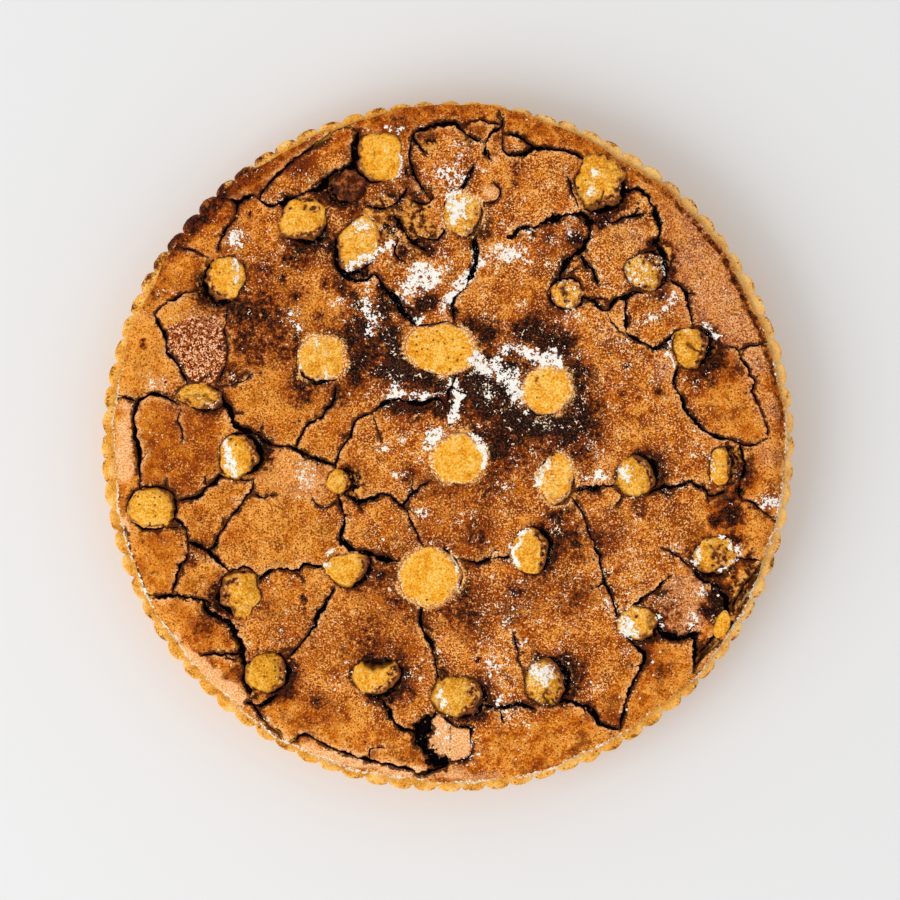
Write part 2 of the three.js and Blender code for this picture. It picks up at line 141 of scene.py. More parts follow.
# Each crack of the crust, from above: its width, and the points that it runs through
CRACKS = [
    # far left
    (0.9, (-74, 104), (-70, 109), (-60, 117), (-50, 124.5), (-45, 128.5), (-41, 129.5), (-37, 127)),
    (2.3, (-36.5, 127), (-38.5, 119), (-39, 113), (-43, 111), (-49, 109), (-51, 104.5), (-58, 102.5)),
    (2.2, (-57, 102.7), (-65, 99.5), (-72, 97), (-76, 99)),
    (1.2, (-92, 100.3), (-85, 99.5), (-79, 101.3), (-76, 99)),
    (0.9, (-76, 99), (-76, 102), (-74, 104)),
    (1.0, (-85, 99.5), (-85.5, 95), (-87.5, 90), (-91.5, 84.5), (-93, 79)),
    (0.6, (-109, 80), (-104, 79), (-97, 76)),
    # left
    (1.1, (-101, 63), (-108, 61), (-114, 57.5), (-118.5, 53.5)),
    (1.3, (-118.5, 53.5), (-117, 49), (-114, 44), (-113.5, 38), (-110, 34.5), (-107, 29), (-105, 25)),
    (0.6, (-89, 57), (-90, 45), (-88.5, 38), (-92.5, 26)),
    (0.5, (-93, 24), (-85, 25.3), (-79, 29)),
    (2.4, (-92, 20), (-88.5, 15), (-87, 10), (-84, 8), (-76, 3.5), (-71, 0.5)),
    (1.3, (-124.5, -18), (-125, -5), (-127, 6), (-127, 12), (-125, 18), (-120, 21), (-115, 20.2), (-109, 17)),
    (0.7, (-135.5, 20), (-131, 20), (-126, 18)),
    (0.6, (-108, 15), (-109, 10), (-107, 6), (-107.5, 2)),
    (1.4, (-110, -22), (-102, -20), (-97, -16), (-91, -12.5), (-85, -13.3), (-79, -13.5)),
    (0.9, (-78.5, -13), (-79, -17), (-83, -22.5), (-88, -28.5)),
    (0.6, (-78, -19), (-75, -20.5), (-70, -19.7)),
    (1.0, (-111, -28), (-107, -32), (-105, -38.5)),
    (1.7, (-105, -38.5), (-100, -40), (-95, -44), (-88, -51)),
    (1.3, (-97, -42), (-93.5, -39), (-91, -33), (-88, -28.5)),
    (1.2, (-105, -38.5), (-105.5, -43), (-109.5, -52), (-111.5, -59)),
    # near left
    (1.8, (-122, -61), (-112, -60.3), (-103, -61), (-97, -62.5)),
    (2.6, (-99, -62), (-97, -67), (-89, -71), (-84.5, -78), (-82.5, -86), (-82, -94), (-80, -100)),
    (1.0, (-100, -84.3), (-93, -83.3), (-84, -83.3)),
    (1.5, (-90, -51), (-82, -49), (-77, -53)),
    (1.5, (-77, -54), (-71, -49.5), (-63, -50), (-57, -47.7), (-48, -48.5)),
    (0.8, (-130.5, -33), (-129.5, -42), (-127, -49), (-122, -61)),
    (1.8, (-46, -57), (-51, -65), (-54, -71), (-57, -77), (-66, -86)),
    (1.5, (-82, -103), (-75, -104), (-69, -100)),
    (1.2, (-80, -102), (-75, -110), (-69, -115), (-65.5, -119.3), (-62, -118.5), (-58, -116), (-49, -120.5)),
    (1.2, (-50, -120.2), (-39, -124.5), (-28, -127.5), (-16, -130.3), (-12, -131.5), (-5, -130), (0, -127.5)),
    (0.7, (-32, -125.5), (-31.5, -122.5), (-26, -121)),
    (1.3, (-28, -100), (-23.5, -107.5), (-20, -112.5), (-13, -115)),
    (5.2, (-5, -107.5), (-8.7, -110.5), (-10.8, -116), (-9.3, -122), (-5.5, -127), (0, -127)),
    (0.8, (-4, -107), (3, -113), (8.5, -114), (8, -125), (0, -127)),
    # middle
    (1.1, (-45.5, 24), (-46.5, 18), (-51, 12.5), (-57, 8.5), (-61.5, 0)),
    (1.2, (-71, 0.5), (-61.5, -1), (-54, -5), (-46, -7.5)),
    (0.8, (-30, 14), (-37, 10.5), (-40, 4), (-45, -5.5), (-46, -10)),
    (1.8, (-30, 14), (-26, 17.5), (-20, 19), (-12, 17.5), (-4, 19), (-1, 15)),
    (1.2, (-1, 17), (1, 24), (3, 30)),
    (0.4, (-30.5, 12), (-27, 2)),
    (1.5, (-45, -18), (-43, -25), (-42, -31), (-44, -37)),
    (1.8, (-44, -18), (-36, -22), (-31, -21), (-26, -19), (-19, -24.5), (-15, -31), (-10, -41)),
    (1.0, (-19, -24), (-14, -18.5), (-8, -14)),
    (2.5, (-44, -37), (-38, -41.5), (-31, -43), (-26, -45), (-19, -46)),
    (0.6, (-55, -21), (-53, -24), (-48, -24), (-45, -22)),
    (2.3, (-46, 74), (-42, 69), (-36, 67), (-30, 69), (-26, 64), (-20, 56.5), (-13, 48)),
    (1.6, (13, 96), (12, 88), (10.5, 82), (11.5, 76), (9.5, 70), (6, 64), (2, 58), (2, 49)),
    (1.1, (2, -45), (12, -46.5), (17, -45.3), (26, -44)),
    (1.4, (-11, -63), (-11, -73), (-7, -79), (-5.5, -87), (-4, -96)),
    # far side
    (1.5, (-10, 118.5), (-13, 122), (-15, 125), (-11, 127.5), (-4, 129.8), (2, 130), (5, 126.5), (14, 122)),
    (0.8, (5, 129.5), (10, 131), (15, 131), (21, 129.7)),
    (1.4, (20, 134), (21.5, 130), (20, 127.5), (15, 123.5), (14.5, 117)),
    (0.9, (21.5, 126), (27, 125), (34.5, 120.3)),
    (1.2, (21.5, 126), (22, 118.5), (27, 117), (34.5, 119.6), (41, 120), (48, 118.8), (54, 116)),
    (0.6, (16, 119.5), (16.5, 116), (19, 114.5)),
    (1.0, (10, 113), (7, 107), (4.5, 102)),
    (0.6, (18, 106), (20.5, 103), (19, 98.7), (14, 98.3)),
    (0.7, (-15, 99), (-10.5, 98), (-7, 99.5), (-6.5, 103)),
    # far right
    (2.3, (25.5, 84.5), (29, 88), (36, 88.7), (41, 91.5), (48, 92.8), (54, 93.5), (57.5, 89)),
    (2.4, (57.5, 92), (56, 83), (53, 78), (48, 74.5), (45, 71), (45, 65)),
    (1.6, (53, 77), (57, 71.5), (60, 65.5)),
    (1.2, (45, 71), (42, 66), (41, 61)),
    (1.8, (52, 61), (58, 58.5), (63, 55), (67, 58.5), (71, 60.3), (80, 62), (86, 65), (88, 71)),
    (0.9, (63, 55), (68, 47.5), (75, 43)),
    (1.5, (71, 60), (71, 53), (71, 46)),
    (1.5, (71, 46), (76, 42.5), (82, 40.3), (87, 42), (92, 47)),
    (1.8, (62, 97), (66, 97.5), (71, 103.5), (77, 103.5), (81, 100.5), (83, 94), (85.3, 89), (84.5, 84.5)),
    (2.6, (84.5, 85), (84, 81), (87, 77), (88, 70)),
    (1.0, (62, 93), (65.5, 90.5), (71, 92), (78.5, 93.5)),
    (0.6, (47.5, 109), (49, 104), (52, 96)),
    (1.1, (89, 67), (93, 64.3), (96, 59), (98, 49)),
    (1.5, (101, 46), (103, 42), (108, 39.5)),
    (1.0, (108, 39.7), (115, 39.5), (119, 34), (122.5, 27), (123, 21), (126, 13), (128.5, 6), (128, 3)),
    (0.8, (117, 39), (124, 41), (132, 41.6)),
    (1.8, (94, 34), (91, 29), (90.5, 25), (95, 15.5), (101, 8), (106, 4), (113, 3)),
    (0.9, (113, 3), (120, 0.5), (128, 3)),
    # right
    (1.7, (48, -18), (57, -16.5), (68, -15)),
    (1.6, (80, -19), (84, -17), (95, -15), (102, -16.3), (106, -20), (111, -18)),
    (2.0, (117, 1), (119, -8), (117, -15), (118, -22)),
    (0.9, (118, -21.5), (123, -22.5), (128.5, -28), (135, -30)),
    (0.9, (134, -30), (133, -35), (129, -42), (127, -46.5), (122, -53), (119.5, -54)),
    (0.7, (113, -45), (120, -45), (127, -46.5)),
    (1.0, (49, -20), (54, -27), (56, -35), (59.5, -42), (62, -52), (65, -60), (68, -69)),
    (0.7, (63.5, -55), (60, -56.5), (56, -57)),
    (0.5, (67, -17), (69, -20), (67, -24)),
    (1.4, (72, -66), (80, -60), (85, -55.5), (89, -52)),
    (0.5, (86, -41), (91, -43.5), (97, -48.5)),
    (2.0, (99, -50), (102, -53.5), (107, -55), (111, -60), (112.5, -68)),
    (2.0, (82, -70), (86, -75), (91, -77), (97, -76), (101, -75)),
    (1.2, (99, -77), (99.5, -83), (98.5, -91)),
    (1.3, (109, -78.5), (105, -82), (99, -88.5)),
    (0.7, (120, -57), (117, -66)),
    (1.2, (71, -76), (75, -80), (78.5, -84), (77, -90), (74, -96), (71.5, -101), (69.5, -110), (69, -115)),
    # near right
    (1.3, (11, -102), (19, -106), (28, -104), (35, -106)),
    (1.3, (41, -105), (47, -102.5), (55, -105.5), (61, -111.5), (69, -114.5)),
    (0.5, (26, -75), (28.5, -86), (30, -92)),
    # broken crust between the far apple pieces
    (1.8, (-23, 94), (-20, 90), (-17.5, 85.5), (-13.5, 82), (-9, 78.5)),
    (1.0, (-15, 124), (-16, 116), (-13.7, 108.5), (-7, 99)),
    (0.9, (-33, 97), (-27, 95.5), (-21, 98), (-17, 104)),
    (0.8, (-13, 85), (-7, 83), (-2, 86), (0, 90)),
    (0.8, (8, 111), (5.7, 105), (2, 103)),
    (0.7, (-26, 88), (-21, 84), (-22, 78), (-18, 74)),
    # rings round single apple pieces
    (1.1, (39.4, 61.8), (43, 66.5), (48.4, 67.5), (51.9, 65.9), (54.1, 61.8), (53.1, 58.2), (46.8, 55.4),
     (42.3, 57.6), (39.4, 61.8)),
    (1.0, (-110.2, 20.5), (-107, 23.5), (-103, 24.8), (-94.5, 22.8), (-90, 17.9)),
    (1.0, (-110.2, 20.5), (-106, 17.1), (-98.4, 14.4), (-93, 15.2), (-90, 17.9)),
    (1.0, (-109.6, -24), (-111.5, -18.8), (-116, -16.4), (-122, -16.4), (-127.5, -19.5), (-129.6, -24.6),
     (-127.5, -30), (-122, -33), (-115.5, -32.6), (-111, -29.2), (-109.6, -24)),
    # crumbled rim at the near right
    (1.0, (128, -47), (124, -56), (119.5, -61), (116, -68), (114.5, -75)),
    (0.8, (125, -48), (118.5, -57), (114, -65)),
    (0.8, (121, -65), (117, -73), (112.5, -80)),
    (0.8, (101, -83), (107, -76), (110, -70)),
]

# Places where the crust has caved in, from above: centre and radius
HOLES = [
    (-85.5, 8, 2.0), (-76.5, 3.5, 2.2), (56, 90, 2.3), (83, 82.5, 2.3), (117, -18, 1.9), (107, -56, 2.2),
    (98, -77, 2.0), (-97, -63.5, 1.9), (-43.5, -38.5, 1.9), (-19.5, 89, 1.9), (-14, 82, 2.1),
    (-47.5, 100, 1.8), (-33.5, 69, 1.9), (24.5, 84, 1.5), (-8, -127.5, 1.7), (-81.5, -97, 1.8),
    (-38.3, -16.5, 2.5),
]

# Low swellings of the crust, from above: centre, half length, half width, turn in degrees and height
LUMPS = [
    (41, 81, 14, 9, 12, 0.9), (17, 103, 4, 5, 20, 0.9), (-31, 67, 6, 4, 30, 0.7), (107, -62, 6, 6, 0, -0.9),
    (2, -119, 7, 8, 0, -0.8), (-112, 1, 12, 18, 0, -0.7), (-20, 98, 7, 6, 0, 0.6), (-8, 62, 9, 8, 0, 0.5),
    (16, 124, 5, 4, 0, 0.6), (80, 53, 7, 6, 0, 0.5), (-58, -10, 9, 9, 0, 0.5), (-97, 44, 9, 12, 0, -0.5),
    (108, 22, 12, 14, 0, -0.6), (60, 83, 9, 9, 0, 0.5), (-90, -90, 8, 6, 40, 0.5), (92, -62, 9, 9, 0, 0.4),
]

# Plates between the cracks by kind: strength, which is below 0 where less than usual, and outline from above
PLATES = {
    "dull": [
        (0.8, (-124.5, -18), (-125, -5), (-127, 6), (-127, 12), (-125, 18), (-120, 21), (-115, 20.2),
         (-109, 17), (-100, 14), (-92, 15), (-92, 4), (-94, -6), (-92, -12), (-97, -16), (-102, -20),
         (-110, -22), (-117, -17)),
        (0.2, (94, 34), (91, 29), (90.5, 25), (95, 15.5), (101, 8), (106, 4), (113, 3), (120, 0.5), (128, 3),
         (126, 13), (123, 21), (122.5, 27), (119, 34), (115, 39.5), (108, 39.7), (103, 40)),
        (0.25, (57.5, 90), (54, 93), (41, 91), (29, 87), (25, 84), (28, 77), (37, 72), (46, 73), (53, 79)),
        (0.4, (-111.5, -59), (-109.5, -52), (-105.5, -43), (-105, -38.5), (-112, -30), (-124, -32),
         (-128, -45), (-122, -60)),
        (-0.45, (62, 97), (66, 97.5), (71, 103.5), (77, 103.5), (81, 100.5), (83, 94), (85.3, 89),
         (84.5, 84.5), (80, 78), (72, 76), (68, 70), (62, 66), (57, 73), (58, 84)),
    ],
    "warm": [
        (0.3, (-71, 0.5), (-61.5, -1), (-54, -5), (-47, -8), (-48, -18), (-53, -23), (-58, -22), (-70, -19.7),
         (-78, -14)),
        (0.9, (-4, -107.5), (3, -113), (8.5, -114), (8, -125), (0, -127), (-5, -124), (-8.5, -118),
         (-7, -111)),
    ],
    # pinkish plates, with a painted sheen
    "rose": [
        (0.9, (-114, 48), (-113.5, 38), (-110, 34.5), (-107, 29), (-105, 25), (-93, 24), (-92.5, 26),
         (-88.5, 38), (-90, 48), (-92, 52), (-103, 53)),
        (0.6, (89, -52), (99, -50), (107, -55), (110, -60), (107, -68), (101, -75), (91, -77), (83, -69),
         (85, -58)),
    ],
}

# Patches of the crust by strength: a centre and a radius, or the two ends of a streak and its radius
CRUMBLES = {
    1.0: [
        (-18, 90, 5), (-12, 83, 4.5), (-26, 97, 5), (-24, 86, 4), (-14, 95, 4), (117, -62, 5), (112, -70, 4),
        (122, -52, 3.5),
    ],
    0.8: [
        (-8, 88, 3.5), (-14, 96, 4), (-32, 94, 3), (-8, 122, 3), (8, 124, 3), (17, 118, 2.5), (-17, 112, 2.5),
        (86, 78, 2.5), (-96, 72, 4), (-99, 66, 3), (-37, -13, 4), (-38, -18, 2.5), (117, -3, 3),
        (117, -12, 3), (-64, 99, -52, 98.5, 1.8), (-75, 8, 2.5), (-74, -8, 2), (-92, -60, 2), (-84, -15, 2.5),
        (113, -52, 3), (105, -55, 2.5), (-79, -101, 2.5),
    ],
}
BURNS = {
    1.0: [
        (-23, 45, -20, 34, 5), (-16, 30, 4.5), (-28, 30, -8, 27, 3.2), (-2, 24, 4.5), (8, 26, 14, 23, 5.5),
        (14, 36, 3.2), (15, 46, 4), (14, 16, 6), (22, 22, 6), (24, 11, 5.5), (30, 8, 48, 9, 6), (33, 14, 4),
        (52, 18, 4.5), (51, 10, 4.5), (2, 54, 1.8), (-11, 57, 3.5), (23, 31, 4.5), (-12, 18, 0, 18, 1.6),
        (-27, 64, -14, 51, 1.8), (5, 19, 3), (-20, 91, -9, 79, 2.4), (107, -61, 3.5), (-49.5, 65.5, 1.6),
        (-53, 51, 1.5), (51.5, -40, 1.7), (-81.5, 92.5, 1.1), (-123, 42, 1.3), (12, -85.5, 0.9),
        (118, -27, 2), (84, 81, 3), (-49, 80, 2), (111, -66, 5), (114, -60, 4), (116, -71, 3.5),
        (114, -27, 3), (-30, -99, 3), (-38, -92, 2.2), (-21, -93, 2.4), (-32, -83.5, 2.4), (-52, 104, 2.6),
        (-38, 108, 2.2),
    ],
    0.86: [
        (30, 46, 46, 42, 5), (50, 30, 6), (54, 8, 7), (46, 2, 6), (22, 4, 6), (12, 5, 4), (-8, 58, 4),
        (-27, 56, 5), (-34, 47, 6), (-36, 37, 6), (-38, 29, 4), (-22, 16, -2, 15, 3), (8, 48, 4), (20, -3, 5),
        (-25, 99, 5), (-25, 88, 3), (47, -92, 2.5), (103, -66, 3), (-59, -62, 1.5), (71.5, 33, 1.3),
        (46, -86, 2.2), (-66, 67, 1.6), (110, -66, 5), (115, -29, 4), (50, 84, 4), (62, 90, 3), (118, -58, 4),
        (108, -30, 3),
    ],
    0.52: [
        (-16, 109, 4.5), (-14, 101, 3), (-84, 58, -82, 42, 6), (-76, 52, 5), (44, -29, 5), (6, -64, 3.5),
        (-5, -66, 3), (114, -22, 4), (-18, 78, 4), (-9, 125, 3.5), (-57, 79, 4), (106, 34, 5), (114, -49, 4),
        (6, -53, 3), (-28, -53, 3.5), (-33, -79, 5), (-16, -11, 3.5), (27, -58, 4), (27, 113, 3),
        (22, 30, 14), (121, -14, 3), (55, -3, 4), (-18, -92, 3.5), (41, -44, 3.5), (13, 86, 3.5),
        (-66, -98, 4), (-69, 42, 4), (28, 106, 1.6), (40, 84, 2.5), (76, -25, 3), (120, -46, 2.5),
        (68, 21, 2), (84, 22, 1.8), (52, -44, 3), (-65, 97, 4), (-38, 97, 4.5), (-62, 75, 5), (36, -86, 3.5),
    ],
    0.5: [
        (-84, 62, 5), (-62, 61, 4), (-62, 44, 4), (-78, 38, 6), (-60, 22, 6), (-88, 30, 4), (5, -58, 5),
        (0, -66, 5), (6, -48, 4), (-20, -62, 4), (48, -36, 6), (85, 62, 4), (51, -92, 5), (115, -38, 4),
        (-105, -46, 3.5), (-34, 37, 9), (-44, 64, -24, 50, 3.5), (6, 28, 14), (34, 24, 14), (-18, 26, 9),
        (40, 12, 9), (48, 20, 8), (-28, 44, 7), (-14, 15, 6), (10, 20, 9), (22, 14, 8), (42, 6, 9),
        (53, 27, 6), (-38, 51, 6), (-40, 42, 6), (-38, 28, 5), (-60, 30, 3), (15, 47, 6), (35, 48, 7),
        (16, -10, 5), (26, -2, 8), (52, -3, 6), (38, 44, 7), (57, 14, 6),
    ],
    0.3: [
        (-75, 50, 14), (-45, 20, 5), (-2, -60, 12), (100, 30, 7), (115, 30, 5), (15, -18, 6), (88, -65, 7),
        (100, -40, 6), (50, -60, 9), (-15, 75, 3), (-38, 98, 4), (-20, 131, 6), (-60, 113, 6), (-2, -92, 5),
        (50, -85, 7), (-25, -45, 4), (20, 124, 4), (-85, 85, 5), (-100, -40, 5), (-86, -92, 5),
        (-12, -48, 14), (85, -90, 5), (-100, -72, 5), (25, -2, 15), (-77, 55, 10), (-44, 40, 12), (57, 6, 9),
        (-66, 40, 7), (25, -66, 8), (33, -55, 6), (-41, 25, 6), (104, 27, 5), (62, -36, 9), (8, -58, 5),
        (-17, -98, 5), (13, -94, 5), (-55, -102, 5), (46, 42, 7), (-4, -15, 9), (-28, 97, 6), (12, -35, 9),
        (-74, 72, 6), (48, -101, 4), (-100, -28, 3), (-33, -76, 9), (-22, -84, 8), (-18, -60, 9),
        (10, -68, 8), (112, -24, 7),
    ],
    0.17: [(-58, -78, 12), (-38, -84, 10), (-74, -66, 8), (-20, -70, 9), (-70, -95, 8), (-48, -108, 7)],
}
WARMS = {
    1.0: [(-131, 8, -131, -12, 3.5), (2, -118, 4), (4, -120, 4), (-112, -78, -84, -103, 2.6)],
    0.8: [
        (-102, -88, -88, -101, 3), (-77, -108, -66, -117, 1.8), (-131, 16, 3), (17, 103, 3.5),
        (-131, -30, -128, -48, 1.5), (-94, -94, 2.5), (-58, -122, -12, -133, 3),
    ],
    0.4: [
        (-12, -132, 20, -133, 2.5), (-58, -10, 8), (-12, 105, 5), (-56, -16, 4), (-118, 25, 6), (2, -131, 5),
        (108, 0, 118, 2, 2.5), (-90, -100, 4),
    ],
}
# Pinkish places of the crust, with a painted sheen
ROSES = {
    0.9: [(124, 35, 4.5), (86, 31, 3.5)],
    0.6: [
        (105, 78, 8), (112, 62, 9), (120, 45, 8), (98, 88, 7), (129, 15, 5), (128, -4, 5), (-101, 46, 8),
        (101, 60, 9), (112, 48, 7), (94, 76, 6),
    ],
    0.4: [(70, 92, 90, 70, 5), (-110, 20, 5), (92, 96, 6), (122, 25, 4), (-58, 80, 4)],
}
GLOSSES = {
    1.0: [
        (-101, 46, 6), (-98, 53, 4), (-97, 38, 4), (124, 34, 3.5), (85, 31, 3), (-19, 33, 4.5),
        (-65, 31, 2.2),
    ],
    0.7: [
        (-24, 101, 3), (41, 78, 6), (48, 88, 4), (-50, 75, 2.5), (-41, 121, 2), (100, 66, 6), (113, 55, 7),
        (50, 115, 2), (-23, 42, 4), (10, 22, 6), (40, 8, 7), (24, 14, 5), (-22, 27, 5),
    ],
    0.45: [
        (60, 46, 9), (47, 50, 5), (26, -60, 8), (95, -62, 7), (68, 40, 8), (118, -8, 4), (70, -40, 14),
        (36, 10, 6),
    ],
}
DUSTS = {
    1.0: [
        (10.5, 35, 2), (12, 32, 2.4), (14.5, 30.5, 2), (20, 35, 1.6), (24, 40, 1.5), (19.5, 31.5, 1.6),
        (21, 28.5, 2), (26, 24.5, 2.2), (26.5, 21.5, 1.8), (42, 36, 2.6), (38, 35, 2.2), (45, 34, 1.6),
        (34, 39, 1.8), (31, 37.5, 1.8), (1, 27, 3, 19, 1.3), (3, 19, 1.5, 13, 1.5), (4, 13, 2, 10, 1.4),
        (3, 98, 3.2), (4.5, 94, 1.8), (71, -70.5, 2.3), (73.5, -74, 2.2), (-17, 64, 2.4), (-13, 66, 2.4),
        (-18, 60, 1.6), (-6, 4, 2), (-3, 6, 1.4), (59, -12, 1.8), (10, 80, 11.5, 74.5, 1.3),
        (11.5, 74.5, 7, 67.5, 1.4), (7, 67.5, -2.5, 54.5, 1.5), (1.5, 99, 2), (2.5, 96, 3, 90, 1.1),
        (-39.5, 71.5, -25, 80.5, 1.3), (-24.5, 81, 1.2), (71, -9, 1.9), (71.5, -13, 1.7), (128.6, -22.5, 2.5),
        (-12.3, 50.8, 1.5), (-47, -41.5, 1.3), (-48.5, -47, 1), (-90, 0.5, -85.6, -12, 1.1),
        (37.5, -8, 36, -14, 1.1), (-20.5, 118, -19.3, 111, 0.8), (29.8, -34.6, 25.9, -40, 0.9),
        (25.9, -40, 27.5, -47.5, 0.8), (14.6, 0.5, 15, -8, 0.7), (9.5, 5.4, 14.6, 0.5, 0.7),
        (-121.5, -62, -129, -49, 0.7), (-60, 124.6, -49, 130.4, 0.9), (-84.9, 67.5, -87, 74.5, 0.9),
    ],
    0.8: [
        (-13, 70, 3), (-7.5, 71, 3), (-3.5, 69.5, 2), (0, 73, 1.6), (21, 79, 2.6), (25, 77, 2.2),
        (30, 75.5, 2.2), (22, 38, 1.4), (28, 38, 1.5), (25, 29, 2), (15, 21, 1.8), (31, 13, 27, 19, 1.2),
        (39, -7.5, 1.8), (34.5, -14, 1.5), (-24, 20.5, -10, 20.5, 1.3), (-10, 21, -2, 22.5, 0.8),
        (-22, 23, 1.6), (-35, 59, -31, 51, 1.5), (-44, 58, 1.3), (-8, 1, 1.5), (-9, 64, 2.4), (-5, 66, 2),
        (11.5, 4, 14, -6, 0.8), (-18, 3.5, 1.1), (-27, 0, 1.2), (-20, -13, 1.3), (54, -13.5, 1.6),
        (62.5, -12.5, 1.2), (-84, 84, 2.8), (-87.5, 83, 1.6), (-62.5, 52, 2.6), (-61, 46.5, 1.4),
        (-19.3, 111, -22, 106, 0.7), (-37, 90, -32, 88.5, 1.2), (56.9, 101.7, 1.1), (59.5, 111, 1),
        (51.3, 64, 51.5, 60, 0.7), (48, 56.6, 0.8), (44.5, 66, 0.7), (-54, 42, -50, 41, 1.1),
        (-49, 30, -48.5, 25, 0.7), (89, 45, 88.6, 37, 0.7), (90, 36, 91, 32, 0.7), (102, 50, 108, 44, 0.8),
        (32, -33.5, 0.9), (-38, -42, -33.5, -42.8, 0.5), (1.5, -43, 4.6, -50, 0.4), (4.6, -50, 3.5, -60, 0.4),
        (109.6, -36.1, 116.4, -43, 0.6), (116.4, -43, 108.5, -50, 0.6), (100.5, -41, 99.5, -47, 0.7),
        (-3, -97, -1, -106, 0.8), (34, -89, 41, -90, 1.4), (38, -93.5, 1.6), (85.2, -69.5, 85.8, -75, 0.8),
        (63, 64.3, 1.8), (90.4, 61, 1.8), (87.8, 56.2, 2), (80.5, 52.2, 2.2), (98.4, -69.3, 1.7),
        (97, -72, 1.3), (101.8, -58, 1.3), (100.5, -59, 1.6), (-12, -26.6, 2), (-87.5, -6.6, 1.8),
        (57.8, 101.8, 1.6), (60, 111.2, 1.3), (-7.2, 2.2, 2), (-2.5, 5.6, 1.6), (-25, 19, -20.6, 22.3, 1.2),
        (-34.6, 127.4, -18.6, 128, 0.9), (29.6, -79.5, 1.8), (-133.6, -28, -131, -41.4, 0.7),
        (-112.8, -81.4, -102.7, -92.8, 0.6), (-90, -104.2, -82, -109.5, 0.6), (15, -6, 13, -11, 0.8),
        (13.5, 2, 15, -5, 0.8),
    ],
    0.55: [
        (3.5, 119, 4), (-2.5, 110, 3), (0, 107, 2.4), (5.5, 108, 2), (13.6, 112.5, 1.8), (-58.5, -10, 4.5),
        (-56, -16.5, 2.6), (49, 87.5, 2.6), (32, 85.5, 2.2), (-31.3, 57, 3), (-28, 50, 2.6), (-32, 65, 2.2),
        (-32, 47, 1.6), (-44.5, 59, 1.6), (-117.5, 25.5, 3), (-112, 62.3, 1.9), (-35, 89, 2.2),
        (-32.6, 75.7, 1.7), (47, 63.5, 2.8), (25, -108, 2.8), (31, -112, 1.8), (10, -124, 2.2),
        (11, -119.5, 1.8), (8, -130, 1.8), (21, -102, 2.2), (24.3, -98, 1.4), (19, -91, 2.6),
        (22.3, -85.4, 1.8), (37.7, -90.7, 3), (-4, -83, 1.6), (-2, -87.4, 1.2), (-27, -1, 1.7),
        (-18.2, 3.6, 1.3), (-19.8, -11.2, 1.7), (-26.3, -38.6, 1.6), (84, 72.5, 3), (76, 72, 3),
        (81, 64.2, 1.4), (-67, -74.7, 2.2), (-65, -66, 1.3), (-63, -54, 1.7), (-32, -103.5, 1.7),
        (-36, -99.5, 1.3), (-46, -94, 2), (-40.7, -88, 1.3), (89.8, -40.8, 1.8), (62.9, -62, 1.3),
        (20.9, -42.5, 1.3), (20.2, -62.6, 1.1), (25.6, -60.6, 1), (111, -36.8, 1), (115.2, -42, 1.1),
        (113.2, -48.8, 1.1), (98.5, -46, 1.1), (105.7, -5, 105.9, -15.3, 0.8), (112.6, -8, 109.2, -12.6, 0.8),
        (106.5, 45.5, 1.4), (85, 38, 1.7), (96.5, 45.5, 1.3), (-101, 17.6, -95.4, 16.2, 1.1),
        (-76, 14.2, 1.3), (-2.5, -101, 1.7), (-48.5, 26, 1.2), (-75.3, 73.7, 1.2), (-80, 76.3, 1.2),
        (73, 110, 1.3), (-85, -53.5, 1.5), (4.8, -53, 3.5, -46, 0.7), (69, 55, 1.4), (77, 49.5, 1.4),
        (-2, -117, 5), (15.5, 77, 2), (50, 53.5, 2.6), (25, -66, 1.5), (13, -78.5, 1.5), (11.5, -83, 1.4),
        (17, -86, 1.7), (21, -70, 1.3), (27, -74, 1.3),
    ],
    0.2: [
        (60, 47, 8), (67, 40, 8), (72, 28, 8), (26, -58, 7), (80, -42, 12), (70, -52, 10), (92, -62, 9),
        (-40, 64, 8), (-63, 31, 2.6), (62, 0, 8), (18, -95, 7), (20, -74, 7), (28, -115, 7), (-20, -4, 9),
        (-60, -58, 6), (0, 112, 7), (-102, 46, 7), (34, 90, 9), (62, 74, 6), (104, 60, 8), (125, 34, 4),
        (86, 31, 4), (95, -2, 9), (20, -20, 8),
    ],
}
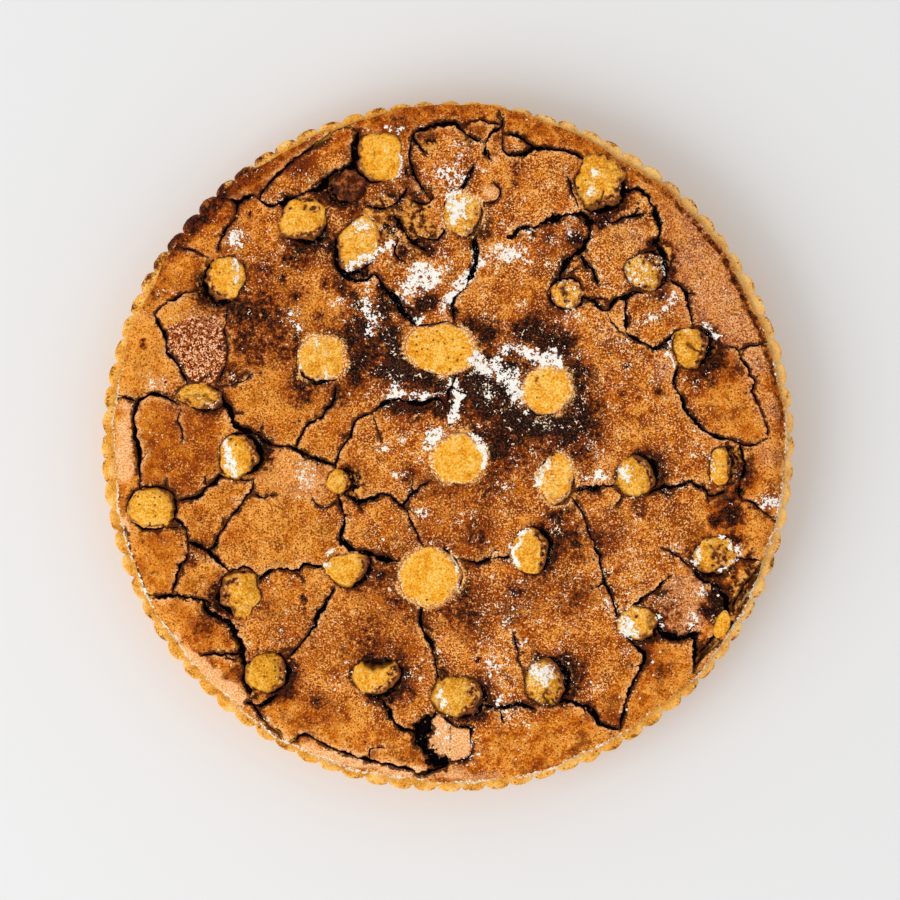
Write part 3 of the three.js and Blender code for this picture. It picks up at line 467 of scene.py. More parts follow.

# Looks of each apple piece: how round on top, uneven, olive (its olive tone, and how strongly its lower parts
# are painted in olive shade), full of pores, veiled with sugar and dusted
APPLE_LOOKS = {
    "apple_01": (0.2, 1.0, 0.0, 0.05, 0.1, 0.1), "apple_02": (0.5, 2.4, 0.0, 0.2, 0.0, 0.0),
    "apple_03": (0.25, 1.2, 0.1, 0.1, 0.5, 0.2), "apple_04": (0.3, 1.3, 0.1, 0.1, 0.7, 0.3),
    "apple_05": (0.3, 1.4, 0.5, 0.1, 0.7, 0.35), "apple_06": (0.2, 1.7, 0.1, 0.15, 0.3, 0.25),
    "apple_07": (0.4, 1.5, 0.0, 0.1, 0.2, 0.15), "apple_08": (0.5, 1.7, 0.4, 0.5, 0.8, 0.6),
    "apple_09": (0.2, 1.9, 0.1, 0.5, 0.5, 0.35), "apple_10": (0.0, 0.7, 0.0, 0.35, 0.8, 0.18),
    "apple_11": (0.2, 1.3, 0.1, 0.1, 0.7, 0.35), "apple_12": (0.5, 1.7, 0.3, 0.4, 0.2, 0.2),
    "apple_13": (0.4, 1.8, 0.6, 0.9, 0.2, 0.35), "apple_14": (0.1, 0.8, 0.0, 0.15, 0.7, 0.2),
    "apple_15": (0.5, 1.5, 0.0, 0.1, 0.2, 0.15), "apple_16": (0.0, 0.7, 0.0, 0.0, 0.3, 0.1),
    "apple_17": (0.1, 1.1, 0.0, 0.0, 0.9, 0.35), "apple_18": (0.8, 0.9, 0.4, 0.0, 0.3, 0.2),
    "apple_19": (0.3, 1.3, 0.1, 0.2, 0.3, 0.2), "apple_20": (0.3, 1.7, 0.1, 0.2, 0.2, 0.1),
    "apple_21": (0.2, 0.8, 0.35, 0.55, 0.2, 0.05), "apple_22": (0.4, 0.7, 0.2, 0.0, 0.4, 0.15),
    "apple_23": (0.3, 1.5, 0.4, 0.6, 0.2, 0.2), "apple_24": (0.4, 1.4, 0.1, 0.1, 0.4, 0.2),
    "apple_25": (0.15, 0.7, 0.0, 0.05, 0.3, 0.1), "apple_26": (0.4, 1.6, 0.3, 0.3, 0.3, 0.2),
    "apple_27": (0.3, 1.4, 0.2, 0.1, 0.5, 0.3), "apple_28": (0.7, 0.9, 0.9, 0.7, 0.0, 0.03),
    "apple_29": (0.4, 1.3, 0.0, 0.1, 0.3, 0.15), "apple_30": (0.7, 1.2, 0.7, 0.25, 0.3, 0.15),
    "apple_31": (0.9, 1.2, 0.7, 0.2, 0.6, 0.35), "apple_32": (0.1, 1.0, 0.0, 0.1, 0.2, 0.1),
}

# Corners of some apple pieces, seen from above: how many, how marked, and the direction of one
CORNERS = {
    "apple_01": (4, 0.06, 45), "apple_03": (4, 0.07, 38), "apple_04": (4, 0.06, 70),
    "apple_06": (5, 0.06, 110), "apple_08": (3, 0.05, 160), "apple_11": (4, 0.03, 50),
    "apple_12": (3, 0.06, 150), "apple_15": (3, 0.05, 120), "apple_17": (3, 0.05, 60),
    "apple_21": (4, 0.05, 40), "apple_24": (3, 0.09, 35), "apple_26": (5, 0.07, 60),
    "apple_27": (3, 0.05, 180), "apple_29": (3, 0.06, 30), "apple_31": (3, 0.03, 120),
}

# Bites, slits and holes in the apple pieces, as patches sorted by depth in millimetres
DENTS = {
    0.8: [
        (-30, 119, -28, 115, 0.5), (-24, 112, -27, 106, 0.6), (-2.5, -96, -3, -105, 1.2), (-83, -67, 1.2),
        (-47, -55, -43, -57, 0.8), (-47.5, 27, -47, 24, 0.8), (44, 62.5, 49, 61, 0.6),
        (46.5, 65, 47, 58, 0.5), (-104, 21.5, -94, 18.5, 0.7), (66, 104, 68.5, 100, 0.7),
        (80.3, -67.5, 81.5, -74, 0.8), (77.5, -19, 79, -21, 0.5),
    ],
    1.5: [
        (61.5, 102.5, 62, 97, 0.7), (96.5, 41.3, 101, 38.2, 0.7), (40.3, -96.5, 39, -103, 0.7),
        (42, -101, 44, -104, 0.6), (107, -43.4, 0.9), (109.3, -40.8, 0.8), (106, -47.4, 0.8),
        (111.2, -44.2, 0.8), (104.5, -41, 0.7), (108.5, -46.5, 0.7), (112.5, -41.5, 0.7), (-54.6, 96.5, 1.2),
        (-58, 97, 0.7), (-86, 66.3, 0.6), (-56, 84.5, -54, 83, 0.7), (78, 74, 1.1), (72.5, 74.5, 0.8),
        (76, 63.5, 0.9), (33, -99.5, 1.0), (35, 27.6, 0.9), (-10.8, 39.9, 0.6), (-4.1, 40.9, 0.6),
        (1.5, 43, 0.5), (-1.6, 35.8, 0.55), (2.5, 34.8, 0.5), (-9.7, 49, 0.45), (5, 38.5, 0.45),
        (0, 31.5, 0.45), (-14, 44, 0.45), (-6, 46, 0.45), (-126, -20, 0.8), (-88, 2, 0.8), (39, 28, 0.5),
        (37, 24, 0.45),
    ],
    4.0: [(-29, -86.5, 2.8), (-33, -86.5, 1.5), (-25, -86.5, 1.5), (-38.5, -16, 1.3)],
}

# Browned, spongy skin on the apple pieces, as patches sorted by strength
BROWNS = {
    1.0: [
        (108.5, -43.3, 3.4), (-86.5, -54.5, 2.6), (113, -8, 2.4), (-54.5, 96, 2), (-89.5, -61, 2),
        (-80.5, 2, 1.8), (-105, 18, 2.2), (-94, 17, 2.2), (-39, -15, 2), (-79, -4, 1.6), (102, 36, 2),
        (80, 62, 2), (83, 72, 2), (-97, 62, 2), (41, -98, 2), (9, -100, 2), (-68, -94, 1.6), (47, 60, 1.8),
        (-24, -92, 1.5),
    ],
    0.6: [
        (-30, -88, 3.5), (79, 64, 2.5), (82, 74, 2.5), (103, 35, 2.5), (-95, 64, 2.5), (-127, -20, 2.2),
        (46, 62, 2),
    ],
}

# Scattered things: how many, and the places of the largest grains
SUGAR_GRAINS = 2200
CRUMBS = 220
SPECKS = [
    (57.2, -94.7), (68.6, -100.8), (82, -86.7), (85, -82.7), (82.3, -92), (77, -101.4), (78.3, -110),
    (80, -108), (71.6, -106), (48.2, -87.4), (108.4, -60), (106.8, -57.5), (110, -58),
]

# Single colours that the materials are mixed from. Some stand for light and shade, wholly or in part: a
# painted glint, a lighter crack edge that is partly a painted highlight, dark fringes, crack floors, apple
# holes, rims and sides that hold painted shade, and a paler pastry for painted light
PAINTS = {
    "edge": (0.91, 0.44, 0.15), "rust": (0.20, 0.032, 0.002), "crumb": (0.94, 0.47, 0.12),
    "lively_crumb": (0.95, 0.54, 0.19), "grit": (0.17, 0.027, 0.002), "tint": (0.99, 0.91, 0.80),
    "ember": (0.66, 0.25, 0.05), "crust_pore": (0.06, 0.014, 0.005), "fringe": (0.050, 0.010, 0.003),
    "crack_floor": (0.008, 0.005, 0.004), "glint": (0.95, 0.75, 0.54), "dust": (0.92, 0.88, 0.80),
    "veil": (0.97, 0.62, 0.21), "crease": (0.46, 0.13, 0.006), "brown_rim": (0.24, 0.070, 0.010),
    "dark_rim": (0.05, 0.014, 0.005), "apple_side": (0.045, 0.018, 0.004),
    "apple_pore": (0.09, 0.022, 0.006), "dent": (0.13, 0.040, 0.006), "hole": (0.012, 0.006, 0.004),
    "browned_side": (0.012, 0.005, 0.004), "pale_pastry": (0.97, 0.66, 0.28),
    "pastry_pore": (0.12, 0.030, 0.005), "toasted": (0.27, 0.070, 0.008), "flour": (0.95, 0.84, 0.64),
    "sugar": (0.92, 0.82, 0.68), "golden_crumb": (0.62, 0.24, 0.035), "dark_crumb": (0.05, 0.014, 0.005),
    "pale_floor": (0.76, 0.76, 0.76),
}

# Runs of colours: each stop is its place and its colour
RAMPS = {
    "caramel": [
        (0.40, 0.21, 0.034, 0.002), (0.455, 0.40, 0.082, 0.004), (0.50, 0.54, 0.138, 0.007),
        (0.545, 0.66, 0.200, 0.013), (0.61, 0.84, 0.34, 0.05),
    ],
    # pinkish tones of the sheeny places: painted sheen
    "rosy": [
        (0.36, 0.24, 0.050, 0.008), (0.46, 0.50, 0.165, 0.046), (0.54, 0.68, 0.29, 0.120),
        (0.63, 0.93, 0.57, 0.34),
    ],
    # painted streaky highlights, from dark rust to near white
    "wet": [
        (0.36, 0.10, 0.012, 0.001), (0.47, 0.34, 0.066, 0.006), (0.56, 0.52, 0.14, 0.026),
        (0.63, 0.95, 0.54, 0.30),
    ],
    "peach": [(0.34, 0.64, 0.23, 0.055), (0.5, 0.87, 0.41, 0.15), (0.66, 0.95, 0.60, 0.32)],
    "reddish": [
        (0.40, 0.025, 0.004, 0.001), (0.48, 0.080, 0.013, 0.002), (0.55, 0.18, 0.032, 0.004),
        (0.63, 0.50, 0.15, 0.028),
    ],
    "scorched": [(0.38, 0.004, 0.003, 0.003), (0.56, 0.014, 0.005, 0.003), (0.70, 0.14, 0.030, 0.010)],
    "broken": [
        (0.39, 0.008, 0.004, 0.003), (0.45, 0.10, 0.022, 0.005), (0.51, 0.48, 0.15, 0.016),
        (0.58, 0.84, 0.38, 0.07),
    ],
    # dark browns for the walls of cracks and pits, darkened as painted shade
    "inner": [
        (0.42, 0.010, 0.005, 0.003), (0.50, 0.080, 0.018, 0.005), (0.57, 0.30, 0.085, 0.014),
        (0.65, 0.66, 0.26, 0.05),
    ],
    "mealy": [
        (0.36, 0.36, 0.09, 0.008), (0.47, 0.66, 0.24, 0.030), (0.55, 0.84, 0.42, 0.11),
        (0.65, 0.92, 0.64, 0.34),
    ],
    "flesh": [
        (0.36, 0.58, 0.180, 0.004), (0.44, 0.82, 0.320, 0.009), (0.52, 0.91, 0.41, 0.020),
        (0.60, 0.97, 0.59, 0.14),
    ],
    "olive": [(0.38, 0.24, 0.074, 0.002), (0.5, 0.58, 0.225, 0.005), (0.62, 0.86, 0.41, 0.018)],
    "skin": [
        (0.40, 0.020, 0.006, 0.003), (0.48, 0.20, 0.045, 0.008), (0.55, 0.50, 0.16, 0.020),
        (0.64, 0.82, 0.42, 0.09),
    ],
    "apple_edge": [
        (0.36, 0.36, 0.095, 0.008), (0.47, 0.72, 0.28, 0.045), (0.56, 0.92, 0.56, 0.22),
        (0.64, 0.93, 0.76, 0.56),
    ],
    "browned": [(0.38, 0.018, 0.005, 0.002), (0.5, 0.10, 0.020, 0.005), (0.61, 0.40, 0.11, 0.022)],
    "pastry": [
        (0.37, 0.50, 0.180, 0.014), (0.46, 0.80, 0.330, 0.030), (0.53, 0.90, 0.43, 0.065),
        (0.63, 0.95, 0.62, 0.22),
    ],
    "burnt_pastry": [(0.42, 0.018, 0.004, 0.002), (0.52, 0.10, 0.016, 0.004), (0.61, 0.44, 0.12, 0.02)],
}


def lattice_noise(x, y, size, seed):
    """Smooth noise from -1 to 1 with bumps of a size in millimetres."""
    table = np.random.default_rng(SEED * 1000 + seed).uniform(-1, 1, (LATTICE, LATTICE))
    u, v = (np.asarray(at) / size + start for at, start in zip((x, y), LATTICE_START))
    i, j = np.floor(u).astype(int), np.floor(v).astype(int)
    s, t = u - i, v - j
    s, t = s * s * (3 - 2 * s), t * t * (3 - 2 * t)
    corner = [[table[(i + a) % LATTICE, (j + b) % LATTICE] for b in (0, 1)] for a in (0, 1)]
    near = corner[0][0] * (1 - s) + corner[1][0] * s
    far = corner[0][1] * (1 - s) + corner[1][1] * s
    return near * (1 - t) + far * t


def noises(x, y, *layers):
    """Sum of noises, each given by its strength, the size of its bumps in millimetres and its seed."""
    return sum(strength * lattice_noise(x, y, size, seed) for strength, size, seed in layers)


def smooth(low, high, value):
    share = np.clip((value - low) / (high - low), 0, 1)
    return share * share * (3 - 2 * share)


def through(points, step):
    """Points about a step apart on a smooth curve through the given ones."""
    points = np.array(points, float)
    padded = np.vstack([2 * points[0] - points[1], points, 2 * points[-1] - points[-2]])
    curve = []
    for before, start, end, after in zip(padded, padded[1:], padded[2:], padded[3:]):
        count = max(1, round(np.linalg.norm(end - start) / step))
        for t in np.arange(count) / count:
            bend = (2 * before - 5 * start + 4 * end - after) * t**2
            turn = (3 * start - before - 3 * end + after) * t**3
            curve.append(0.5 * (2 * start + (end - before) * t + bend + turn))
    return np.array(curve + [points[-1]])


def wander(x, y):
    """Shifts places a little to and fro, so that round patches come out ragged."""
    return x + noises(x, y, (0.9, 2.3, 31), (1.3, 6, 32)), y + noises(x, y, (0.9, 2.3, 33), (1.3, 6, 34))


def patchwork(groups, x, y, grow=1.0):
    """Soft ragged patches laid over each other, from 0 to 1."""
    x, y = wander(x, y)
    clear = np.ones(len(x))
    for strength, patches in groups.items():
        for *ends, radius in patches:
            (ax, ay), (bx, by) = ends[:2], ends[-2:]
            run = (bx - ax) ** 2 + (by - ay) ** 2
            share = np.clip(((x - ax) * (bx - ax) + (y - ay) * (by - ay)) / run, 0, 1) if run else 0
            square = (x - ax - share * (bx - ax)) ** 2 + (y - ay - share * (by - ay)) ** 2
            clear *= 1 - strength * np.exp(-np.minimum(square / (grow * radius) ** 2, 20))
    return 1 - clear


def dusting(x, y):
    return patchwork(DUSTS, x, y, 1.7)


def plate_share(kind, x, y):
    """How much places look like the plates of one kind: the strength of the plate that they lie in."""
    x, y = x + 0.35 * lattice_noise(x, y, 1.5, 35), y + 0.35 * lattice_noise(x, y, 1.5, 36)
    share = np.zeros(len(x))
    for strength, *points in PLATES[kind]:
        inside = np.zeros(len(x), bool)
        for (ax, ay), (bx, by) in zip(points, points[1:] + points[:1]):
            if ay != by:
                inside ^= ((ay > y) != (by > y)) & (x < ax + (bx - ax) * (y - ay) / (by - ay))
        share[inside] = strength
    return share


def twigs():
    """Short thin cracks that branch off the longer ones."""
    found = []
    for number, (width, *points) in enumerate(CRACKS):
        draw = np.random.default_rng(TWIG_SEED + number)
        line = through(points, CRACK_STEP)
        for at in range(int(draw.integers(5, 14)), len(line) - 3, TWIG_POINTS):
            along = (line[at + 1] - line[at - 1]) / np.linalg.norm(line[at + 1] - line[at - 1])
            turn = draw.choice((-1, 1)) * draw.uniform(0.45, 1.0)
            lengths = np.array([-0.2, 0.45, 1.0]) * draw.uniform(2.5, 6.5)
            turns = turn + np.array([0, draw.uniform(-0.4, 0.4), 0])
            ways = np.stack([
                along[0] * np.cos(turns) - along[1] * np.sin(turns),
                along[0] * np.sin(turns) + along[1] * np.cos(turns),
            ], axis=1)
            spots = line[at] + lengths[:, None] * ways
            if np.hypot(*spots[-1]) < SHOULDER_RADIUS - 3:
                found.append((draw.uniform(0.3, 0.6) * min(1, 0.4 + width / 2), *spots))
    return found


CRACKS += twigs()


def crack_route(number):
    """A crack's middle line, its sideways direction and its half width on each side."""
    width, *points = CRACKS[number]
    draw = np.random.default_rng(SEED + number)
    line = through(points, CRACK_STEP)
    along = np.gradient(line, axis=0)
    along /= np.linalg.norm(along, axis=1)[:, None]
    across = np.stack([-along[:, 1], along[:, 0]], axis=1)
    share = np.linspace(0, 1, len(line))
    taper = 0.35 + 0.65 * np.sin(np.pi * share) ** 0.4
    stray = 0.45 * draw.uniform(-1, 1, len(line)) + 0.9 * lattice_noise(*line.T, 3.5, 61)
    line = line + across * (stray * min(1, 0.5 + width / 3) * np.sin(np.pi * share))[:, None]
    x, y = line.T
    uneven = 0.9 + 0.75 * lattice_noise(x, y, 4, 62)
    wider = 0.3 * smooth(60, 95, y) + 0.3 * smooth(40, 75, -y) * smooth(-70, 20, x)
    half = 0.53 * width * taper * np.clip(uneven + 0.35 * draw.uniform(-1, 1, (2, len(line))), 0.25, None)
    return line, across, half * (1 + wider)


ROUTES = [crack_route(number) for number in range(len(CRACKS))]


def burnt_rim(angle):
    """How much the rim is burnt at an angle, from 0 to 1: on the far left."""
    return np.exp(-(((angle - BURNT_ANGLE) / BURNT_HALF_ANGLE) ** 2))


def lip_radius(angle):
    """Where the crust ends over the shell's rim: it has run out furthest on the far side."""
    away = np.abs(np.mod(angle, 2 * np.pi) - np.pi / 2) / OVERFLOW_HALF_ANGLE
    spilt = np.maximum(smooth(0, 1, 1 - away), 0.9 * burnt_rim(angle))
    wave = 0.5 * np.sin(9 * angle + 1) + 0.4 * np.sin(23 * angle) + 0.25 * np.sin(51 * angle + 2)
    return CAVITY_RADIUS - CLEARANCE + LIP_COVER + OVERFLOW * spilt + wave


def floury_line(x, y):
    """How floury the seam between the crust and the rim is, from 0 to 1: everywhere but on the far side."""
    away = np.hypot(x, y) - lip_radius(np.arctan2(y, x)) - 0.2
    patchy = np.clip(1.1 + 0.6 * lattice_noise(x, y, 14, 27), 0, 1)
    return np.exp(-(away**2)) * patchy * smooth(60, 20, y)


def plain_height(x, y):
    """Height of the crust as the solids have it: a low crown with gentle swells and a rounded edge."""
    radius = np.hypot(x, y)
    share = np.clip(radius / SHOULDER_RADIUS, 0, 1)
    crown = CROWN_HEIGHT + (SHOULDER_HEIGHT - CROWN_HEIGHT) * share**2
    swell = 0.7 * np.sin(x / 19 + 0.6) * np.cos(y / 23) + 0.45 * np.sin((x - y) / 12)
    edge = np.clip((radius - SHOULDER_RADIUS) / (lip_radius(np.arctan2(y, x)) - SHOULDER_RADIUS), 0, 1)
    return crown + swell * (1 - share**6) - (SHOULDER_HEIGHT - LIP_HEIGHT) * edge**2.2


def crack_lift(x, y):
    """How far the crust stands up beside its cracks, the painted light and shade there (lighter on one side
    of a crack and darker on the other, as tilted plates would be lit), and how far the next crack is.
    """
    lift = np.zeros(len(x))
    light = np.zeros(len(x))
    nearest = np.full(len(x), 99.0)
    for number, (line, across, half) in enumerate(ROUTES):
        low, high = line.min(axis=0) - CRACK_REACH, line.max(axis=0) + CRACK_REACH
        inside = np.flatnonzero((x > low[0]) & (x < high[0]) & (y > low[1]) & (y < high[1]))
        if not len(inside):
            continue
        away = np.stack([x[inside], y[inside]], axis=1)[:, None, :] - line[None]
        reached = np.argmin((away**2).sum(axis=2), axis=1)
        away = away[np.arange(len(inside)), reached]
        distance = np.linalg.norm(away, axis=1)
        side = np.tanh((away * across[reached]).sum(axis=1) / 0.8)
        draw = np.random.default_rng(LIFT_SEED + number).uniform(-1, 1)
        width = CRACKS[number][0]
        ends = np.sin(np.pi * np.clip(reached / (len(line) - 1), 0.02, 0.98)) ** 0.6
        lift[inside] += draw * min(1.0, 0.5 * width) * side * ends * np.exp(-distance / 3.5)
        # painted light and shade: one side of the crack lighter, the other darker
        light[inside] += draw * min(1.0, width) * side * ends * np.exp(-distance / 5)
        nearest[inside] = np.minimum(nearest[inside], distance - half.mean(axis=0)[reached])
    return lift, np.clip(light, -1, 1), nearest


def spots_of(mesh):
    """A mesh's vertices in millimetres."""
    flat = np.empty(3 * len(mesh.vertices), np.float32)
    mesh.vertices.foreach_get("co", flat)
    return flat.reshape(-1, 3).astype(float) / MM


def pit_outline(node):
    """Centre of an apple piece, its highest and lowest level, and its outline's radius at an angle."""
    spots = spots_of(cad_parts[node].data)
    low, high = spots.min(axis=0), spots.max(axis=0)
    centre = (low + high) / 2
    turns = np.linspace(-np.pi, np.pi, 120, endpoint=False)
    ways = np.stack([np.cos(turns), np.sin(turns)])
    support = ((spots[:, :2] - centre[:2]) @ ways).max(axis=0)
    lean = np.cos(turns[:, None] - turns[None])
    radius = np.where(lean > 0.1, support[:, None] / np.maximum(lean, 0.1), 99).min(axis=0)
    radius = np.mean([np.roll(radius, shift) for shift in range(-5, 6)], axis=0)

    def radius_at(at):
        return np.interp(at, turns, radius, period=2 * np.pi)

    return centre, high[2], low[2], radius_at


OUTLINES = {node: pit_outline(node) for node in APPLE_NODES}


def cornered(node, angle):
    """What an apple piece's outline is multiplied by to give it its corners."""
    count, marked, direction = CORNERS.get(node, (3, 0, 0))
    return 1 + marked * np.cos(count * (angle - math.radians(direction)))


def pit_radius(node, angle, share=1.0, opening=1.0):
    """Radius of the hollow round an apple piece: open on one side, and closing on the piece elsewhere."""
    gap, direction, _ = PITS[node]
    lean = np.cos(angle - math.radians(direction))
    opened = smooth(-0.3, 0.7, lean) * min(1, gap / 1.2)
    clear = GRIP + (CLEARANCE - GRIP) * opened
    outline = OUTLINES[node][3](angle) * cornered(node, angle)
    return share * outline + clear + opening * gap * np.clip(lean, 0, 1) ** 1.5


def pit_sides(x, y):
    """For each apple piece: its gap and dip, how far its pit is, and how much places lie on its open side."""
    for node in APPLE_NODES:
        gap, direction, dip = PITS[node]
        centre = OUTLINES[node][0]
        angle = np.arctan2(y - centre[1], x - centre[0])
        edge = np.hypot(x - centre[0], y - centre[1]) - pit_radius(node, angle)
        yield gap, dip, np.clip(edge, 0, None), np.clip(np.cos(angle - math.radians(direction)), 0, 1)


def crust_top(x, y):
    """Height of the crust's top, in millimetres, with its fine swells, dips and lifted edges."""
    height = plain_height(x, y)
    inner = 1 - smooth(SHOULDER_RADIUS, SHOULDER_RADIUS + 9, np.hypot(x, y))
    height += inner * noises(x, y, (0.35, 15, 1), (0.38, 6.5, 2))
    height += 0.22 * lattice_noise(x, y, 2.8, 3)
    for px, py, long, wide, turn, rise in LUMPS:
        turn = math.radians(turn)
        along = (x - px) * math.cos(turn) + (y - py) * math.sin(turn)
        across = (y - py) * math.cos(turn) - (x - px) * math.sin(turn)
        height += rise * np.exp(-(((along / long) ** 2 + (across / wide) ** 2) ** 1.5))
    for _, dip, edge, opened in pit_sides(x, y):
        height -= dip * (0.5 + 1.3 * opened) * np.exp(-edge / (1.8 + 2.4 * opened))
    rubble = noises(x, y, (0.9, 2.7, 4), (0.5, 1.6, 5)) - 0.4
    return height + patchwork(CRUMBLES, x, y) * rubble + crack_lift(x, y)[0]


def scorching(x, y):
    """How dark the crust is, from 0 to 1: burnt patches, a thin dark line along its right edge that is
    browning and painted shade, its burnt far-left edge, and browning with painted shade beside the opened
    pits.
    """
    burn = np.max([patchwork({strength: patches}, x, y) for strength, patches in BURNS.items()], axis=0)
    angle = np.arctan2(y, x)
    inset = lip_radius(angle) - np.hypot(x, y) - 1.6 - 0.6 * lattice_noise(x, y, 5, 37)
    # a thin dark line along the right edge: browning and painted shade
    burn = np.maximum(burn, 0.5 * np.exp(-(((angle - 0.5) / 0.5) ** 2)) * np.exp(-((inset / 1.2) ** 2)))
    patchy = 0.5 + 0.4 * lattice_noise(x, y, 5, 38)
    burn = np.maximum(burn, burnt_rim(angle) * patchy * smooth(6, 0.5, inset))
    # beside the opened pits: browning and painted shade, widest on the open side
    for gap, _, edge, opened in pit_sides(x, y):
        beside = min(1, gap / 2.2) * (0.42 + 0.45 * opened) * np.exp(-edge / (0.9 + 1.5 * opened))
        burn = 1 - (1 - burn) * (1 - beside)
    return burn


def show(name, data):
    """Puts an object with the given data into the scene."""
    obj = bpy.data.objects.new(name, data)
    bpy.context.scene.collection.objects.link(obj)
    return obj


def new_object(name, bm):
    mesh = bpy.data.meshes.new(name)
    bm.to_mesh(mesh)
    bm.free()
    return show(name, mesh)


def place(verts, spots):
    """Moves vertices to places given in millimetres."""
    for vert, spot in zip(verts, spots):
        vert.co = Vector(spot) * MM


def place_ring(ring, around, radius, height):
    """Moves vertices to their angles, at a radius and a height in millimetres."""
    level = np.broadcast_to(height, len(ring))
    place(ring, np.stack([radius * np.cos(around), radius * np.sin(around), level], axis=1))


def open_edges(bm):
    return [edge for edge in bm.edges if edge.is_boundary]


def next_ring(bm):
    """New vertices drawn out of a mesh's open edge."""
    grown = bmesh.ops.extrude_edge_only(bm, edges=open_edges(bm))["geom"]
    return [item for item in grown if isinstance(item, bmesh.types.BMVert)]


def angles_of(verts):
    return np.array([math.atan2(vert.co.y, vert.co.x) for vert in verts])


def close_up(bm):
    """Closes a mesh's open edge, and turns its faces outwards."""
    bmesh.ops.holes_fill(bm, edges=open_edges(bm))
    bmesh.ops.recalc_face_normals(bm, faces=bm.faces[:])


def crack_blade(number):
    """A wedge that cuts one crack: a strip along its route, pulled down to a narrow floor."""
    line, across, half = ROUTES[number]
    last = len(line) - 1
    bm = bmesh.new()
    bmesh.ops.create_grid(bm, x_segments=last, y_segments=1, size=1)
    floor = set(bm.verts)
    bmesh.ops.extrude_face_region(bm, geom=bm.faces[:])
    surface = plain_height(*line.T)
    depth = np.clip(2.0 + 2.6 * half.sum(axis=0), 2.2, 8)
    for vert in bm.verts:
        i = round((vert.co.x + 1) / 2 * last)
        j = 0 if vert.co.y > 0 else 1
        flare, rise = (0.4, -depth[i]) if vert in floor else (1 + 0.6 * CUT_ABOVE / depth[i], CUT_ABOVE)
        x, y = line[i] + (1 - 2 * j) * half[j][i] * flare * across[i]
        vert.co = Vector((x, y, surface[i] + rise)) * MM
    bmesh.ops.recalc_face_normals(bm, faces=bm.faces[:])
    return new_object(f"crack_{number}", bm)


def pit_cutter(node):
    """The hollow round one apple piece, from a narrow floor to an open mouth."""
    centre, top, low, _ = OUTLINES[node]
    levels = {
        -1: (low - 0.4, 0.66, 0.2),
        0: (top - APPLE_WAIST * (top - low), 1.0, 0.9),
        1: (top + CUT_ABOVE, 1.04, 1.2),
    }
    bm = bmesh.new()
    bmesh.ops.create_cone(bm, cap_ends=True, segments=PIT_POINTS, radius1=1, radius2=1, depth=2)
    everything = bm.verts[:] + bm.edges[:] + bm.faces[:]
    bmesh.ops.bisect_plane(bm, geom=everything, plane_co=(0, 0, 0), plane_no=(0, 0, 1))
    for vert in bm.verts:
        height, share, opening = levels[round(vert.co.z)]
        angle = math.atan2(vert.co.y, vert.co.x)
        way = np.array([math.cos(angle), math.sin(angle)])
        radius = pit_radius(node, angle, share, opening)
        radius += noises(*(centre[:2] + radius * way), (0.45, 1.5, 7), (0.65, 4, 8))
        vert.co = Vector((*(centre[:2] + radius * way), height)) * MM
    bmesh.ops.recalc_face_normals(bm, faces=bm.faces[:])
    return new_object(f"pit_{node}", bm)


def hole_cutter(number):
    """A ragged hollow where the crust has caved in."""
    x, y, radius = HOLES[number]
    bm = bmesh.new()
    bmesh.ops.create_icosphere(bm, subdivisions=2, radius=radius)
    height = float(plain_height(x, y))
    for vert in bm.verts:
        ragged = 0.9 + 0.75 * float(lattice_noise(x + vert.co.x, y + vert.co.y, 1.9, 9))
        vert.co = Vector((x + vert.co.x * ragged, y + vert.co.y * ragged, height - 1 + 1.8 * vert.co.z)) * MM
    return new_object(f"hole_{number}", bm)


def cut_away(obj, cutters):
    """Cuts all the cutters out of an object, and removes them."""
    group = bpy.data.collections.new("cutters")
    bpy.context.scene.collection.children.link(group)
    for cutter in cutters:
        group.objects.link(cutter)
        bpy.context.scene.collection.objects.unlink(cutter)
    modifier = obj.modifiers.new("cracks_and_pits", "BOOLEAN")
    modifier.operation = "DIFFERENCE"
    modifier.operand_type = "COLLECTION"
    modifier.collection = group
    modifier.solver = "MANIFOLD"
    bake_modifiers(obj)
    for cutter in cutters:
        bpy.data.meshes.remove(cutter.data)
    bpy.data.collections.remove(group)


def bake_modifiers(obj):
    bpy.context.view_layer.update()
    final = bpy.data.meshes.new_from_object(obj.evaluated_get(bpy.context.evaluated_depsgraph_get()))
    rough = obj.data
    obj.modifiers.clear()
    obj.data = final
    final.name = obj.name
    final.materials.clear()
    bpy.data.meshes.remove(rough)


def paint(mesh, **layers):
    """Writes named values at a mesh's vertices, which its material reads."""
    for name, values in layers.items():
        layer = mesh.attributes.new(name, "FLOAT", "POINT")
        layer.data.foreach_set("value", np.full(len(mesh.vertices), values, np.float32))


def soft_edges(mesh, degrees):
    mesh.shade_smooth()
    mesh.set_sharp_from_angle(angle=math.radians(degrees))


def disc_place(u, v):
    """Spreads a square's points evenly over a disc: each point's share of the radius, and its angle."""
    wide = np.abs(u) >= np.abs(v)
    base = np.where(wide, u, v)
    other = np.where(wide, v, u)
    safe = np.where(base == 0, 1, base)
    lean = np.pi / 4 * other / safe
    angle = np.where(wide, lean, np.pi / 2 - lean) + np.where(base < 0, np.pi, 0)
    return np.abs(base), angle


